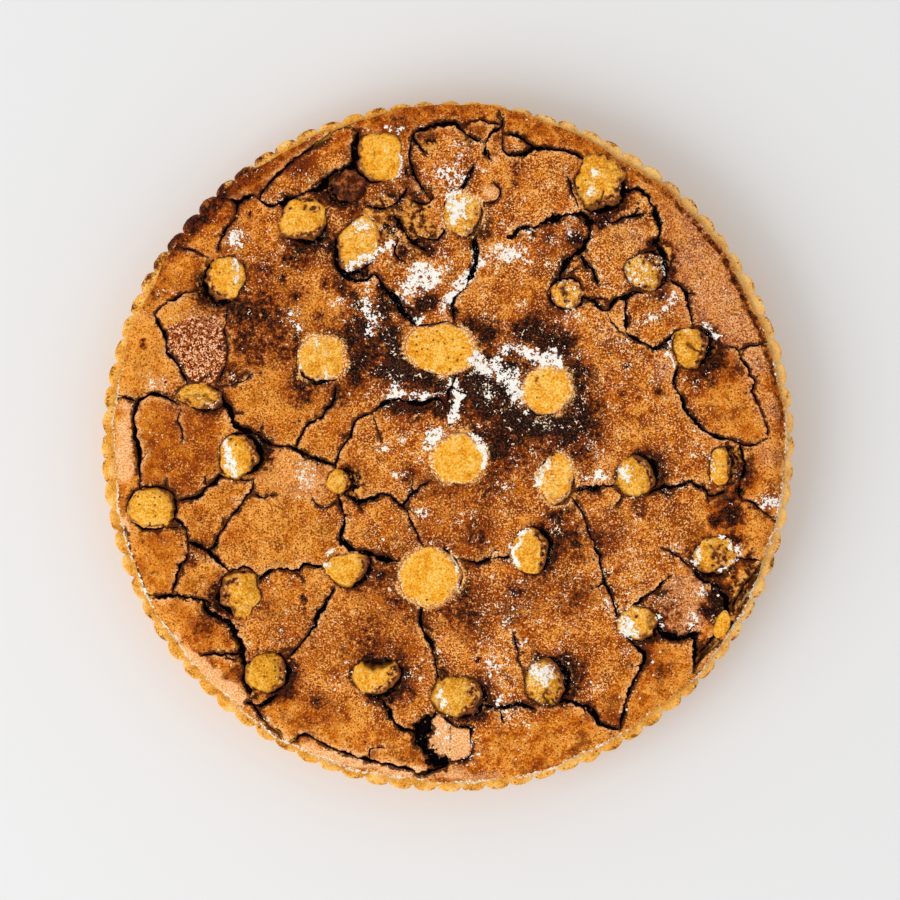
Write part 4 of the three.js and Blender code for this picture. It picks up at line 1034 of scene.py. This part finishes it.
def uncracked_crust():
    """The filling before it cracks: a fine disc of crust over a plain body."""
    bm = bmesh.new()
    bmesh.ops.create_grid(bm, x_segments=CRUST_CELLS, y_segments=CRUST_CELLS, size=1)
    square = np.array([vert.co[:2] for vert in bm.verts])
    share, angle = disc_place(square[:, 0], square[:, 1])
    radius = share * lip_radius(angle)
    place_ring(bm.verts, angle, radius, crust_top(radius * np.cos(angle), radius * np.sin(angle)))
    under = RIM_HEIGHT + CLEARANCE
    wall = CAVITY_RADIUS - CLEARANCE
    levels = [
        (under + 0.35, 1, -0.1), (under, 1, -0.7), (under - 0.1, 0, wall - 0.2),
        (FILLING_BASE, 0, wall - WALL_FLARE * (1 - FILLING_BASE / RIM_HEIGHT)),
    ]
    for level, on_lip, inset in levels:
        ring = next_ring(bm)
        around = angles_of(ring)
        place_ring(ring, around, on_lip * lip_radius(around) + inset, level)
    close_up(bm)
    return new_object("almond_crust", bm)


def paint_crust(mesh):
    """Writes what the crust's material has to know of each place."""
    spots = spots_of(mesh)
    x, y = spots[:, 0], spots[:, 1]
    _, light, nearest = crack_lift(x, y)
    halo = np.zeros(len(x))
    for node, (gap, _, edge, opened) in zip(APPLE_NODES, pit_sides(x, y)):
        flush = node in FLUSH_APPLES
        nearest = np.minimum(nearest, edge + 0.2 + (1.2 if flush else 0.2) * (1 - opened * min(1, gap)))
        halo = np.maximum(halo, flush * np.exp(-edge / 1.7))
    bustle = np.maximum.reduce([smooth(-75, -5, x), smooth(40, 90, y), 0.7 * smooth(50, 80, -y)])
    far_rim = smooth(123, 129, np.hypot(x, y)) * smooth(60, 100, y)
    inner_edge = 112 - 12 * smooth(60, 100, x)
    calm = smooth(inner_edge, inner_edge + 10, np.hypot(x, y)) * (1 - smooth(70, 100, y))
    calm = np.maximum(calm, far_rim)
    dull = plate_share("dull", x, y) + far_rim * (0.4 - 0.35 * smooth(-20, 30, x))
    gloss = patchwork(GLOSSES, x, y)
    paint(
        mesh,
        depth=np.clip(crust_top(x, y) - spots[:, 2], 0, 20),
        near=np.clip(nearest, 0, 9),
        halo=halo * np.clip(0.7 + 0.9 * lattice_noise(x, y, 6, 16), 0, 1.2),
        # painted light and shade of the tilted plates beside the cracks
        light=light,
        # painted light: the rim on the right is made lighter where the lamp on the left leaves it in shade
        dull=dull - 0.3 * calm * smooth(60, 100, x),
        bustle=bustle,
        calm=calm,
        crumble=patchwork(CRUMBLES, x, y),
        burn=scorching(x, y),
        gloss=gloss,
        # how many painted glints (highlights) the crust gets, most where it is glossy
        sparkle=np.clip(0.2 + 0.35 * bustle * (1 - calm) + 0.5 * gloss, 0, 1),
        dust=np.maximum(dusting(x, y), 0.8 * floury_line(x, y)),
        warm=np.maximum(patchwork(WARMS, x, y), plate_share("warm", x, y)),
        # pinkish tone with a painted sheen
        rose=np.maximum(patchwork(ROSES, x, y), plate_share("rose", x, y)),
    )


def almond_crust():
    """The filling with its cracks, pits and caved-in holes cut in."""
    obj = uncracked_crust()
    cutters = [crack_blade(number) for number in range(len(CRACKS))]
    cutters += [pit_cutter(node) for node in APPLE_NODES]
    cutters += [hole_cutter(number) for number in range(len(HOLES))]
    cut_away(obj, cutters)
    paint_crust(obj.data)
    soft_edges(obj.data, 38)
    obj.data.materials.append(baked_crust())
    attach(obj, "root")
    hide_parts("almond_filling")
    return obj


class Recipe:
    """Adds nodes to one node tree. Single colours and runs of colours go by their names."""

    def __init__(self, tree):
        self.tree = tree

    def feed(self, socket, value):
        if isinstance(value, bpy.types.NodeSocket):
            self.tree.links.new(value, socket)
        else:
            socket.default_value = (*PAINTS[value], 1) if isinstance(value, str) else value

    def add(self, kind, inputs, output=0, **settings):
        node = self.tree.nodes.new(kind)
        for key, value in settings.items():
            setattr(node, key, value)
        for key, value in inputs.items():
            self.feed(node.inputs[key], value)
        return node.outputs[output]

    def coords(self):
        return self.add("ShaderNodeTexCoord", {}, "Object")

    def attribute(self, name):
        return self.add("ShaderNodeAttribute", {}, "Fac", attribute_name=name)

    def noise(self, size, detail, roughness, distortion=0.0):
        """Noise with bumps of a size in millimetres."""
        inputs = {"Vector": self.coords(), "Scale": 1 / (size * MM), "Detail": detail, "Roughness": roughness}
        return self.add("ShaderNodeTexNoise", {**inputs, "Distortion": distortion}, "Fac")

    def spread(self, value, low, high, to_low=0.0, to_high=1.0, kind="SMOOTHSTEP"):
        inputs = {"Value": value, "From Min": low, "From Max": high, "To Min": to_low, "To Max": to_high}
        return self.add("ShaderNodeMapRange", inputs, "Result", interpolation_type=kind)

    def math(self, a, b, operation="ADD"):
        return self.add("ShaderNodeMath", {0: a, 1: b}, "Value", operation=operation)

    def times(self, total, *factors):
        """Product of values."""
        for factor in factors:
            total = self.math(total, factor, "MULTIPLY")
        return total

    def blend(self, *parts, start=0.0):
        """Weighted sum of values, added to a start."""
        total = start
        for value, weight in parts:
            inputs = {0: value, 1: weight, 2: total}
            total = self.add("ShaderNodeMath", inputs, "Value", operation="MULTIPLY_ADD")
        return total

    def group(self, tree, inputs, output):
        return self.add("ShaderNodeGroup", inputs, output, node_tree=tree)

    def mix(self, share, a, b, blend="MIX"):
        inputs = {0: share, 6: a, 7: b}
        return self.add("ShaderNodeMix", inputs, 2, data_type="RGBA", blend_type=blend)

    def lay(self, under, over, value, low, high, most=1.0):
        """Lays one colour over another where a value goes from low to high."""
        return self.mix(self.spread(value, low, high, 0, most), under, over)

    def ramp(self, value, name):
        node = self.tree.nodes.new("ShaderNodeValToRGB")
        while len(node.color_ramp.elements) < len(RAMPS[name]):
            node.color_ramp.elements.new(0.5)
        for element, (position, *colour) in zip(node.color_ramp.elements, RAMPS[name]):
            element.position = position
            element.color = (*colour, 1)
        self.feed(node.inputs["Fac"], value)
        return node.outputs["Color"]

    def sugar(self):
        return self.group(SUGAR_GROUP, {"Amount": self.attribute("dust")}, "Mask")

    def pores(self, spacing, share, radius):
        """Mask of pores at a spacing in millimetres."""
        inputs = {"Scale": 1 / (spacing * MM), "Share": share, "Radius": radius}
        return self.group(PORE_GROUP, inputs, "Mask")

    def bumps(self, relief, strength, depth):
        """Normals of a relief with a depth in metres."""
        return self.add("ShaderNodeBump", {"Height": relief, "Strength": strength, "Distance": depth})

    def dress(self, colour, roughness, **others):
        """Feeds a material's shader. Other sockets go by their names, with underscores in place of spaces."""
        inputs = {"Base Color": colour, "Roughness": roughness}
        inputs.update({name.replace("_", " "): value for name, value in others.items()})
        for name, value in inputs.items():
            self.feed(self.tree.nodes["Principled BSDF"].inputs[name], value)


def new_material(name):
    material = bpy.data.materials.new(name)
    material.use_nodes = True
    return material, Recipe(material.node_tree)


def new_group(name, inputs, outputs):
    """A shader node group with number sockets: its tree, its recipe, and its two ends."""
    tree = bpy.data.node_groups.new(name, "ShaderNodeTree")
    for socket in inputs:
        tree.interface.new_socket(socket, in_out="INPUT", socket_type="NodeSocketFloat")
    for socket in outputs:
        tree.interface.new_socket(socket, in_out="OUTPUT", socket_type="NodeSocketFloat")
    start = tree.nodes.new("NodeGroupInput")
    end = tree.nodes.new("NodeGroupOutput")
    return tree, Recipe(tree), start.outputs, end.inputs


def sugar_group():
    """Mask of fine sugar specks that close up as the amount grows."""
    tree, recipe, start, end = new_group("sugar_specks", ["Amount"], ["Mask"])
    grain = recipe.blend((recipe.noise(0.9, 1, 0.6), 0.3), (recipe.noise(1.9, 3, 0.65), 0.7))
    limit = recipe.spread(start["Amount"], 0, 1, 0.72, 0.42, "LINEAR")
    recipe.feed(end["Mask"], recipe.spread(recipe.math(grain, limit, "SUBTRACT"), 0.0, 0.03))
    return tree


def pore_group():
    """Mask of round pores in some of many cells: the scale is one over the spacing of the cells in metres."""
    tree, recipe, start, end = new_group("pores", ["Scale", "Share", "Radius"], ["Mask"])
    inputs = {"Vector": recipe.coords(), "Scale": start["Scale"], "Randomness": 1.0}
    distance = recipe.add("ShaderNodeTexVoronoi", inputs, "Distance")
    inside = recipe.math(distance, start["Radius"], "LESS_THAN")
    cell = recipe.add("ShaderNodeTexVoronoi", inputs, "Color")
    number = recipe.add("ShaderNodeSeparateColor", {"Color": cell}, "Red")
    drawn = recipe.math(number, start["Share"], "LESS_THAN")
    recipe.feed(end["Mask"], recipe.times(inside, drawn))
    return tree


SUGAR_GROUP = sugar_group()
PORE_GROUP = pore_group()


def baked_crust():
    material, recipe = new_material("baked_crust")
    broad = recipe.noise(16, 3, 0.55)
    middle = recipe.noise(5, 4, 0.62)
    wrinkle = recipe.noise(1.9, 2, 0.6)
    fine = recipe.noise(0.66, 1, 0.6)
    strokes = recipe.noise(1.2, 0, 0.5, 1.6)
    bustle, light, gloss = map(recipe.attribute, ("bustle", "light", "gloss"))
    dull, calm, burn = map(recipe.attribute, ("dull", "calm", "burn"))
    near, rose, depth = map(recipe.attribute, ("near", "rose", "depth"))

    # mottled caramel, lighter along the cracks (partly a painted highlight on their lit side), with painted
    # light and shade of the tilted plates, rust, bright flecks and dark grit
    tone = recipe.blend((broad, 0.24), (middle, 0.52), (wrinkle, 0.24))
    mottle = recipe.times(recipe.math(tone, -0.5), recipe.spread(bustle, 0, 1, 0.8, 1.2))
    # light shifts the caramel lighter or darker: painted light and shade of the tilted plates
    shift = recipe.blend((light, 0.055), (dull, -0.11), (bustle, -0.035), (calm, 0.03), (burn, -0.16))
    colour = recipe.ramp(recipe.math(recipe.math(mottle, shift), 0.552), "caramel")
    # orange crack edges: thin dry crust, with a painted highlight that is strongest on the lit side
    edge = recipe.times(
        recipe.spread(near, 0.3, 2.4, 0.95, 0),
        recipe.spread(middle, 0.38, 0.54, 0.2, 1),
        recipe.spread(light, -0.3, 0.3, 0.3, 1),
    )
    colour = recipe.mix(edge, colour, "edge")
    rust = recipe.spread(recipe.noise(9, 5, 0.68), 0.37, 0.49, 0.8, 0)
    colour = recipe.mix(recipe.times(rust, recipe.spread(bustle, 0, 1, 0.5, 1)), colour, "rust")
    flecks = recipe.blend((fine, 1.0), (recipe.noise(7, 3, 0.6), 0.3), (calm, -0.08), (dull, -0.05))
    bright = recipe.times(recipe.spread(flecks, 0.705, 0.79), recipe.spread(bustle, 0, 1, 0.7, 0.95))
    colour = recipe.mix(bright, colour, recipe.mix(bustle, "crumb", "lively_crumb"))
    grit = recipe.blend((fine, 1.0), (bustle, -0.012), (calm, 0.02))
    colour = recipe.mix(recipe.spread(grit, 0.37, 0.475, 0.85, 0), colour, "grit")
    colour = recipe.mix(bustle, colour, "tint", "MULTIPLY")

    # pinkish places with a painted sheen and painted streaky highlights, and pale peach places
    colour = recipe.mix(recipe.times(rose, 0.9), colour, recipe.ramp(fine, "rosy"))
    colour = recipe.lay(colour, recipe.ramp(strokes, "wet"), rose, 0.65, 0.9)
    colour = recipe.lay(colour, recipe.ramp(fine, "peach"), recipe.attribute("warm"), 0.15, 0.7)

    # burnt places, with painted shade by the right edge and beside the opened pits, and crumbled places
    ragged = recipe.blend((middle, 1.5), (wrinkle, 1.5), (fine, 0.6), start=-1.8)
    burn = recipe.math(burn, recipe.times(ragged, recipe.spread(burn, 0, 0.4, 0.35, 1.4)))
    reddish = recipe.ramp(recipe.blend((tone, 0.6), (fine, 0.4)), "reddish")
    colour = recipe.lay(colour, reddish, burn, 0.12, 0.30)
    colour = recipe.lay(colour, recipe.ramp(fine, "scorched"), burn, 0.48, 0.62)
    embers = recipe.times(
        recipe.spread(burn, 0.15, 0.25),
        recipe.spread(burn, 0.3, 0.6, 0.85, 0.05),
        recipe.spread(flecks, 0.70, 0.78),
    )
    colour = recipe.mix(embers, colour, "ember")
    rubble = recipe.blend((ragged, 0.6), start=recipe.attribute("crumble"))
    colour = recipe.lay(colour, recipe.ramp(recipe.noise(3.2, 3, 0.7), "broken"), rubble, 0.2, 0.5, 0.95)
    colour = recipe.mix(recipe.times(recipe.pores(3.1, 0.18, 0.15), 0.8), colour, "crust_pore")

    # dark fringes beside the cracks and pits, browning with painted shade that is wider on their shaded side,
    # painted shade on their walls and floors, and mealy rings round the flush apple pieces
    fringe = recipe.blend((ragged, 1.8), (recipe.spread(light, -0.1, 0.4), 1.0), start=near)
    colour = recipe.mix(recipe.spread(fringe, 0.4, 1.3, 0.92, 0), colour, "fringe")
    colour = recipe.lay(colour, recipe.ramp(recipe.noise(1.6, 2, 0.6), "inner"), depth, 0.25, 1.2)
    # painted shade: near black deep in the cracks and pits
    colour = recipe.lay(colour, "crack_floor", depth, 1.6, 4.5)
    ring = recipe.blend((ragged, 0.7), start=recipe.attribute("halo"))
    colour = recipe.lay(colour, recipe.ramp(fine, "mealy"), ring, 0.3, 0.7)

    # painted glints (highlights) and sugar dust
    sparkle = recipe.spread(recipe.attribute("sparkle"), 0, 1, 0.92, 0.70, "LINEAR")
    glints = recipe.blend((strokes, 1.0), (recipe.noise(6, 2, 0.6), 0.9), (sparkle, -1.0), start=-0.45)
    colour = recipe.lay(colour, "glint", glints, 0, 0.03)
    dust = recipe.times(recipe.sugar(), recipe.spread(depth, 0.8, 3.0, 1.0, 0.0))
    swell = recipe.times(strokes, recipe.spread(gloss, 0, 1, 0.15, 0.6))
    relief = recipe.blend((middle, 0.7), (swell, 1.0), (fine, 0.22))
    recipe.dress(
        recipe.mix(dust, colour, "dust"),
        recipe.spread(fine, 0.35, 0.65, 0.45, 0.7),
        Specular_IOR_Level=0.03,
        Coat_Weight=recipe.times(gloss, 0.12),
        Coat_Roughness=0.22,
        Normal=recipe.bumps(relief, 1.0, 0.0009),
    )
    return material


def cooked_apple():
    material, recipe = new_material("cooked_apple")
    broad = recipe.noise(4, 3, 0.6)
    fine = recipe.noise(0.8, 1, 0.6)
    tone = recipe.blend((broad, 0.45), (fine, 0.55))
    drop, ripe, pores, dent = map(recipe.attribute, ("depth", "olive", "pores", "dent"))
    # painted shade: the lower parts of a piece go olive, the more so the more olive the piece is
    lower = recipe.spread(recipe.math(drop, broad), 0.9, 2.6)
    shade = recipe.times(recipe.spread(ripe, 0, 1, 0.35, 1), lower)
    shade = recipe.math(shade, recipe.times(ripe, 0.65), "MAXIMUM")
    flesh = recipe.mix(shade, recipe.ramp(tone, "flesh"), recipe.ramp(tone, "olive"))
    veil = recipe.times(recipe.attribute("veil"), recipe.spread(tone, 0.44, 0.62, 0, 0.7))
    flesh = recipe.mix(veil, flesh, "veil")
    folds = recipe.math(recipe.math(recipe.noise(3, 2, 0.6, 0.8), -0.5), 0.0, "ABSOLUTE")
    creased = recipe.times(recipe.spread(folds, 0.004, 0.035, 1, 0), recipe.attribute("uneven"))
    flesh = recipe.mix(creased, flesh, "crease")
    ragged = recipe.blend((broad, 1.4), (fine, 0.8), start=-1.1)
    brown, mealy, rim = (recipe.math(recipe.attribute(name), ragged) for name in ("brown", "mealy", "rim"))
    flesh = recipe.lay(flesh, recipe.ramp(recipe.noise(1.6, 2, 0.6), "skin"), brown, 0.3, 0.6)
    flesh = recipe.lay(flesh, recipe.ramp(fine, "apple_edge"), mealy, 0.4, 0.7)
    # a browned rim, and a dark rim that is wider on the side of the opened gap: browning and painted shade
    flesh = recipe.lay(flesh, "brown_rim", rim, 0.45, 0.85)
    flesh = recipe.lay(flesh, "dark_rim", rim, 0.85, 1.15)
    # painted shade down the sides of the piece, below its top
    flesh = recipe.lay(flesh, "apple_side", drop, 2.6, 6.5)
    small = recipe.times(recipe.pores(2.2, pores, 0.21), recipe.math(pores, 0.05, "GREATER_THAN"), 0.85)
    flesh = recipe.mix(small, flesh, "apple_pore")
    # dents painted darker and deep holes near black: darker flesh and painted shade in the hollows
    flesh = recipe.lay(flesh, "dent", dent, 0.35, 1.1, 0.85)
    flesh = recipe.lay(flesh, "hole", dent, 1.4, 3.0)
    flesh = recipe.mix(recipe.sugar(), flesh, "dust")
    relief = recipe.blend((broad, 1.0), (fine, 0.3), (creased, -0.25))
    recipe.dress(flesh, 0.5, Specular_IOR_Level=0.1, Normal=recipe.bumps(relief, 0.9, 0.0007))
    return material


def browned_apple():
    material, recipe = new_material("browned_apple")
    tone = recipe.blend((recipe.noise(4, 3, 0.6), 0.55), (recipe.noise(1.3, 2, 0.7), 0.45))
    # painted shade down the sides of the piece, below its top
    skin = recipe.lay(recipe.ramp(tone, "browned"), "browned_side", recipe.attribute("depth"), 1.5, 4)
    skin = recipe.mix(recipe.sugar(), skin, "dust")
    recipe.dress(skin, 0.3, Specular_IOR_Level=0.06, Normal=recipe.bumps(tone, 1.0, 0.002))
    return material


def golden_pastry():
    material, recipe = new_material("golden_pastry")
    tone = recipe.blend((recipe.noise(5, 3, 0.6), 0.5), (recipe.noise(0.7, 2, 0.65), 0.5))
    # painted light: the flutes on the right, which face away from the lamp, are made paler
    pale = recipe.times(recipe.attribute("pale"), 0.3)
    colour = recipe.mix(pale, recipe.ramp(tone, "pastry"), "pale_pastry")
    colour = recipe.mix(recipe.times(recipe.pores(2.2, 0.2, 0.2), 0.75), colour, "pastry_pore")
    toast = recipe.math(recipe.attribute("toast"), recipe.spread(tone, 0.38, 0.62, 0.3, -0.3, "LINEAR"))
    colour = recipe.lay(colour, "toasted", toast, 0.3, 0.7)
    colour = recipe.lay(colour, recipe.ramp(tone, "burnt_pastry"), toast, 0.6, 0.9)
    colour = recipe.mix(recipe.sugar(), colour, "flour")
    recipe.dress(colour, 0.55, Specular_IOR_Level=0.08, Normal=recipe.bumps(tone, 0.7, 0.0008))
    return material


def plain_material(name, roughness, **others):
    """A material of one colour, which has the material's name."""
    material, recipe = new_material(name)
    recipe.dress(name, roughness, **others)
    return material


def apple_piece(node, material):
    """One apple piece: its solid, rounded, made uneven, and lower on the side where its pit has opened."""
    bm = bmesh.new()
    bm.from_mesh(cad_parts[node].data)
    bmesh.ops.remove_doubles(bm, verts=bm.verts[:], dist=1e-6)
    obj = new_object(f"cooked_{node}", bm)
    rounding = obj.modifiers.new("rounding", "SUBSURF")
    rounding.levels = rounding.render_levels = 3
    bake_modifiers(obj)
    centre, _, _, radius_at = OUTLINES[node]
    gap, direction, _ = PITS[node]
    dome, uneven, olive, pores, veil, dusted = APPLE_LOOKS[node]
    flush = node in FLUSH_APPLES
    low, high = (np.array(corner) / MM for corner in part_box(node))
    spots = spots_of(obj.data)
    now_low, now_high = spots.min(axis=0), spots.max(axis=0)
    spots = low + (spots - now_low) * (high - low) / (now_high - now_low)
    share = (spots[:, 2] - low[2]) / (high[2] - low[2])
    away = spots[:, :2] - centre[:2]
    angle = np.arctan2(away[:, 1], away[:, 0])
    reach = np.hypot(away[:, 0], away[:, 1]) / radius_at(angle)
    opened = np.clip(np.cos(angle - math.radians(direction)), 0, 1)
    x, y = spots[:, 0], spots[:, 1]
    ragged = uneven * noises(x, y, (0.07, 4, 41), (0.065, 1.7, 42)) + cornered(node, angle)
    ragged += (0.7 - 0.5 * opened) * np.clip(reach, 0, 1) / radius_at(angle)
    spots[:, :2] = centre[:2] + away * ragged[:, None]
    grain = noises(x, y, (0.5, 5, 11), (0.3, 2.1, 12), (0.12, 1, 13))
    bite = sum(depth * patchwork({1.0: patches}, x, y) for depth, patches in DENTS.items())
    fall = dome * (2.6 * np.clip(reach, 0, 1.1) ** 2.2 + 1.6 * min(1, gap / 3) * reach * opened)
    lift = share**2 * (0.8 * uneven * grain - fall - bite)
    spots[:, 2] = low[2] + (high[2] - low[2]) * (1 - (1 - share) ** 1.7) + lift - 0.25
    obj.data.vertices.foreach_set("co", (spots * MM).astype(np.float32).ravel())
    # how dark the rim is: browning, and painted shade that grows with the gap beside the piece
    outlined = 0.3 if flush else 0.4 + 0.25 * min(1, gap / 1.5)
    patchy = dusted * np.clip(0.9 + 0.8 * lattice_noise(x, y, 4.5, 14), 0, 1.2)
    sponge = 0.95 * smooth(0.45, 0.85, reach) * smooth(0.1, 0.75, opened) * min(1, gap / 2.8)
    veiled = 0.6 * dusting(x, y) + veil * (0.6 + 0.7 * lattice_noise(x, y, 7, 15))
    paint(
        obj.data,
        depth=np.clip(high[2] - 0.4 - spots[:, 2], 0, 20),
        rim=smooth(0.7, 1.0, reach) * (outlined + 0.4 * opened),
        dent=bite,
        mealy=smooth(0.7, 1.05, reach) * flush,
        dust=np.maximum(dusting(x, y), patchy) * (share > 0.3),
        uneven=np.clip(0.65 * (uneven - 0.8), 0, 0.7),
        olive=olive,
        pores=0.6 * pores,
        veil=np.clip(veiled, 0, 1),
        brown=np.maximum(patchwork(BROWNS, x, y), sponge) * (share > 0.3),
    )
    obj.data.shade_smooth()
    obj.data.materials.append(material)
    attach(obj, "root")
    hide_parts(node)
    return obj


def pastry_shell():
    """Fluted shortcrust: a ring of points drawn up the outside, over the rim and down to the floor inside."""
    base = RIM_RADIUS - WALL_FLARE
    profile = [(z, base + WALL_FLARE * z / RIM_HEIGHT, 1.0) for z in np.linspace(0, RIM_HEIGHT - 2.2, 8)]
    over_the_rim = [
        (1.3, 0, 1.0), (0.7, 0.2, 1.0), (0.25, 0.6, 0.95), (0.05, 1.2, 0.85), (0, 1.8, 0.6), (0, 2.4, 0.4),
        (0, 3, 0.25), (0.05, 3.7, 0.1), (0.15, 4.5, 0.0),
    ]
    profile += [(RIM_HEIGHT - down, RIM_RADIUS - inward, fluted) for down, inward, fluted in over_the_rim]
    floor_radius = CAVITY_RADIUS - WALL_FLARE * (1 - SHELL_FLOOR / RIM_HEIGHT)
    profile += [(RIM_HEIGHT - 0.6, CAVITY_RADIUS, 0.0), (SHELL_FLOOR, floor_radius, 0.0)]
    bm = bmesh.new()
    bmesh.ops.create_circle(bm, cap_ends=True, segments=FLUTES * FLUTE_POINTS, radius=1)
    for level, (height, reach, fluted) in enumerate(profile):
        ring = next_ring(bm) if level else bm.verts[:]
        around = angles_of(ring)
        scallop = np.sqrt(np.abs(np.cos(FLUTES / 2 * around)))
        spread = 0.35 + 0.95 * np.clip(np.cos(around - 2.9), 0, 1) ** 2
        radius = reach + fluted * spread * height / RIM_HEIGHT - FLUTE_DEPTH * fluted * (1 - scallop)
        x, y = radius * np.cos(around), radius * np.sin(around)
        ragged = noises(x, y, (0.35, 5, 21), (0.25, 1.8, 22)) - 0.2
        radius += fluted * ragged * (height > 0)
        rise = noises(x, y, (0.45, 6, 23), (0.2, 1.8, 24)) - 0.4
        rim = smooth(RIM_HEIGHT - 3, RIM_HEIGHT - 0.7, height)
        rim *= smooth(CAVITY_RADIUS, CAVITY_RADIUS + 1, reach)
        place_ring(ring, around, radius, height + rim * rise)
    close_up(bm)
    obj = new_object("fluted_shortcrust", bm)
    spots = spots_of(obj.data)
    x, y = spots[:, 0], spots[:, 1]
    upper = smooth(8, RIM_HEIGHT, spots[:, 2])
    tips = smooth(RIM_RADIUS - 3.2, RIM_RADIUS - 0.4, np.hypot(x, y)) * upper
    flecked = lattice_noise(x, y, 2.4, 25)
    scorched = burnt_rim(np.arctan2(y, x)) * (0.9 + 0.4 * lattice_noise(x, y, 6, 26))
    paint(
        obj.data,
        toast=np.clip(0.28 * tips + 0.35 * flecked * tips + scorched * upper, 0, 1.2),
        dust=floury_line(x, y) * (spots[:, 2] > RIM_HEIGHT - 2),
        # painted light on the flutes towards the right
        pale=smooth(20, 120, x + 0.4 * y),
    )
    soft_edges(obj.data, 50)
    obj.data.materials.append(golden_pastry())
    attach(obj, "root")
    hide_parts("pastry_shell")


def scattered(name, spots, sizes, flat, draw, surface):
    """One mesh of many small grains that lie on a surface: each a turned, uneven body of twenty faces."""
    bm = bmesh.new()
    bmesh.ops.create_icosphere(bm, subdivisions=1, radius=1)
    body = np.array([vert.co[:] for vert in bm.verts])
    faces = np.array([[vert.index for vert in face.verts] for face in bm.faces])
    bm.free()
    grains = []
    for (x, y), size in zip(spots, sizes):
        hit = surface.ray_cast(Vector((x, y, 3 * RIM_HEIGHT)) * MM, Vector((0, 0, -1)))[0]
        if hit is None:
            continue
        turn = draw.uniform(0, 2 * np.pi)
        spin = np.array([[np.cos(turn), -np.sin(turn), 0], [np.sin(turn), np.cos(turn), 0], [0, 0, 1]])
        grown = body * draw.uniform(0.75, 1.25, (len(body), 1)) * (draw.uniform(0.7, 1.3), 1, flat)
        grains.append(np.array(hit) + size * MM * (grown @ spin.T + (0, 0, 0.3 * flat)))
    offsets = len(body) * np.arange(len(grains))
    mesh = bpy.data.meshes.new(name)
    mesh.from_pydata(np.concatenate(grains), [], (faces[None] + offsets[:, None, None]).reshape(-1, 3))
    obj = show(name, mesh)
    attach(obj, "root")
    return obj


def drawn_places(draw, count, weight_at):
    """Places on the crust, drawn at random but more often where the weight is high."""
    tries = 60000
    radius = (SHOULDER_RADIUS + 3) * np.sqrt(draw.uniform(0, 1, tries))
    angle = draw.uniform(0, 2 * np.pi, tries)
    x, y = radius * np.cos(angle), radius * np.sin(angle)
    weight = weight_at(x, y)
    chosen = draw.choice(len(x), count, replace=False, p=weight / weight.sum())
    return np.stack([x, y], axis=1)[chosen]


def sugar_and_crumbs(pieces):
    """Grains of sugar where the dust lies, and crumbs of crust beside the cracks."""
    verts, polygons = [], []
    for piece in pieces:
        first = len(verts)
        verts += [vert.co[:] for vert in piece.data.vertices]
        polygons += [[first + index for index in polygon.vertices] for polygon in piece.data.polygons]
    surface = BVHTree.FromPolygons(verts, polygons)
    draw = np.random.default_rng(GRAIN_SEED)

    def sugared(x, y):
        clusters = np.clip(noises(x, y, (1, 5, 71), (0.5, 2, 72)) - 0.2, 0, 1)
        sprinkled = clusters * np.maximum(smooth(-70, 0, x), smooth(40, 90, y))
        return dusting(x, y) ** 1.5 + 0.06 * sprinkled + 0.002

    def crumbled(x, y):
        return patchwork(CRUMBLES, x, y) + 0.6 * np.exp(-np.clip(crack_lift(x, y)[2], 0, None) / 1.5) + 0.01

    spots = np.concatenate([drawn_places(draw, SUGAR_GRAINS, sugared), SPECKS])
    sizes = np.concatenate([draw.uniform(0.12, 0.36, SUGAR_GRAINS), draw.uniform(0.5, 0.7, len(SPECKS))])
    sugar = scattered("sugar_grains", spots, sizes, 0.7, draw, surface)
    sugar.data.materials.append(plain_material("sugar", 0.5, Specular_IOR_Level=0.3))
    for shade in ("golden", "dark"):
        spots = drawn_places(draw, CRUMBS, crumbled)
        crumbs = scattered(f"{shade}_crumbs", spots, draw.uniform(0.25, 0.75, CRUMBS), 0.8, draw, surface)
        crumbs.data.materials.append(plain_material(f"{shade}_crumb", 0.7, Specular_IOR_Level=0.3))


def studio():
    """Pale floor, soft light from the left and a little from the near side, and a camera straight above."""
    bm = bmesh.new()
    bmesh.ops.create_grid(bm, x_segments=1, y_segments=1, size=3)
    floor = new_object("floor", bm)
    floor.data.materials.append(plain_material("pale_floor", 0.9))
    floor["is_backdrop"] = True
    world = bpy.data.worlds.new("soft_room")
    bpy.context.scene.world = world
    world.use_nodes = True
    world.node_tree.nodes["Background"].inputs["Color"].default_value = (1, 1, 1, 1)
    world.node_tree.nodes["Background"].inputs["Strength"].default_value = ROOM_LIGHT
    lamp = bpy.data.lights.new("window", "AREA")
    lamp.shape = "DISK"
    lamp.size = WINDOW_SIZE
    lamp.energy = WINDOW_POWER
    window = show("window", lamp)
    turn, rise = math.radians(WINDOW_TURN), math.radians(WINDOW_RISE)
    aim = Vector((math.cos(rise) * math.cos(turn), math.cos(rise) * math.sin(turn), math.sin(rise)))
    window.location = WINDOW_DISTANCE * aim
    window.rotation_euler = (-aim).to_track_quat("-Z", "Y").to_euler()
    lens = bpy.data.cameras.new("camera")
    lens.sensor_width = SENSOR_WIDTH
    lens.lens = SENSOR_WIDTH * (CAMERA_HEIGHT - RIM_HEIGHT * MM) / (PICTURE_PIXELS * PIXEL_SIZE * MM)
    camera = show("camera", lens)
    camera.location = (CAMERA_SHIFT[0] * MM, CAMERA_SHIFT[1] * MM, CAMERA_HEIGHT)
    bpy.context.scene.camera = camera
    bpy.context.scene.view_settings.view_transform = "Standard"


studio()
pastry_shell()
flesh, browned = cooked_apple(), browned_apple()
dusted = [almond_crust()]
dusted += [apple_piece(node, browned if node == BROWNED_APPLE else flesh) for node in APPLE_NODES]
sugar_and_crumbs(dusted)

boxes = {"cad": CAD_BOX, "visual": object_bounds()}
{name: [list(corner) for corner in box] for name, box in boxes.items()}
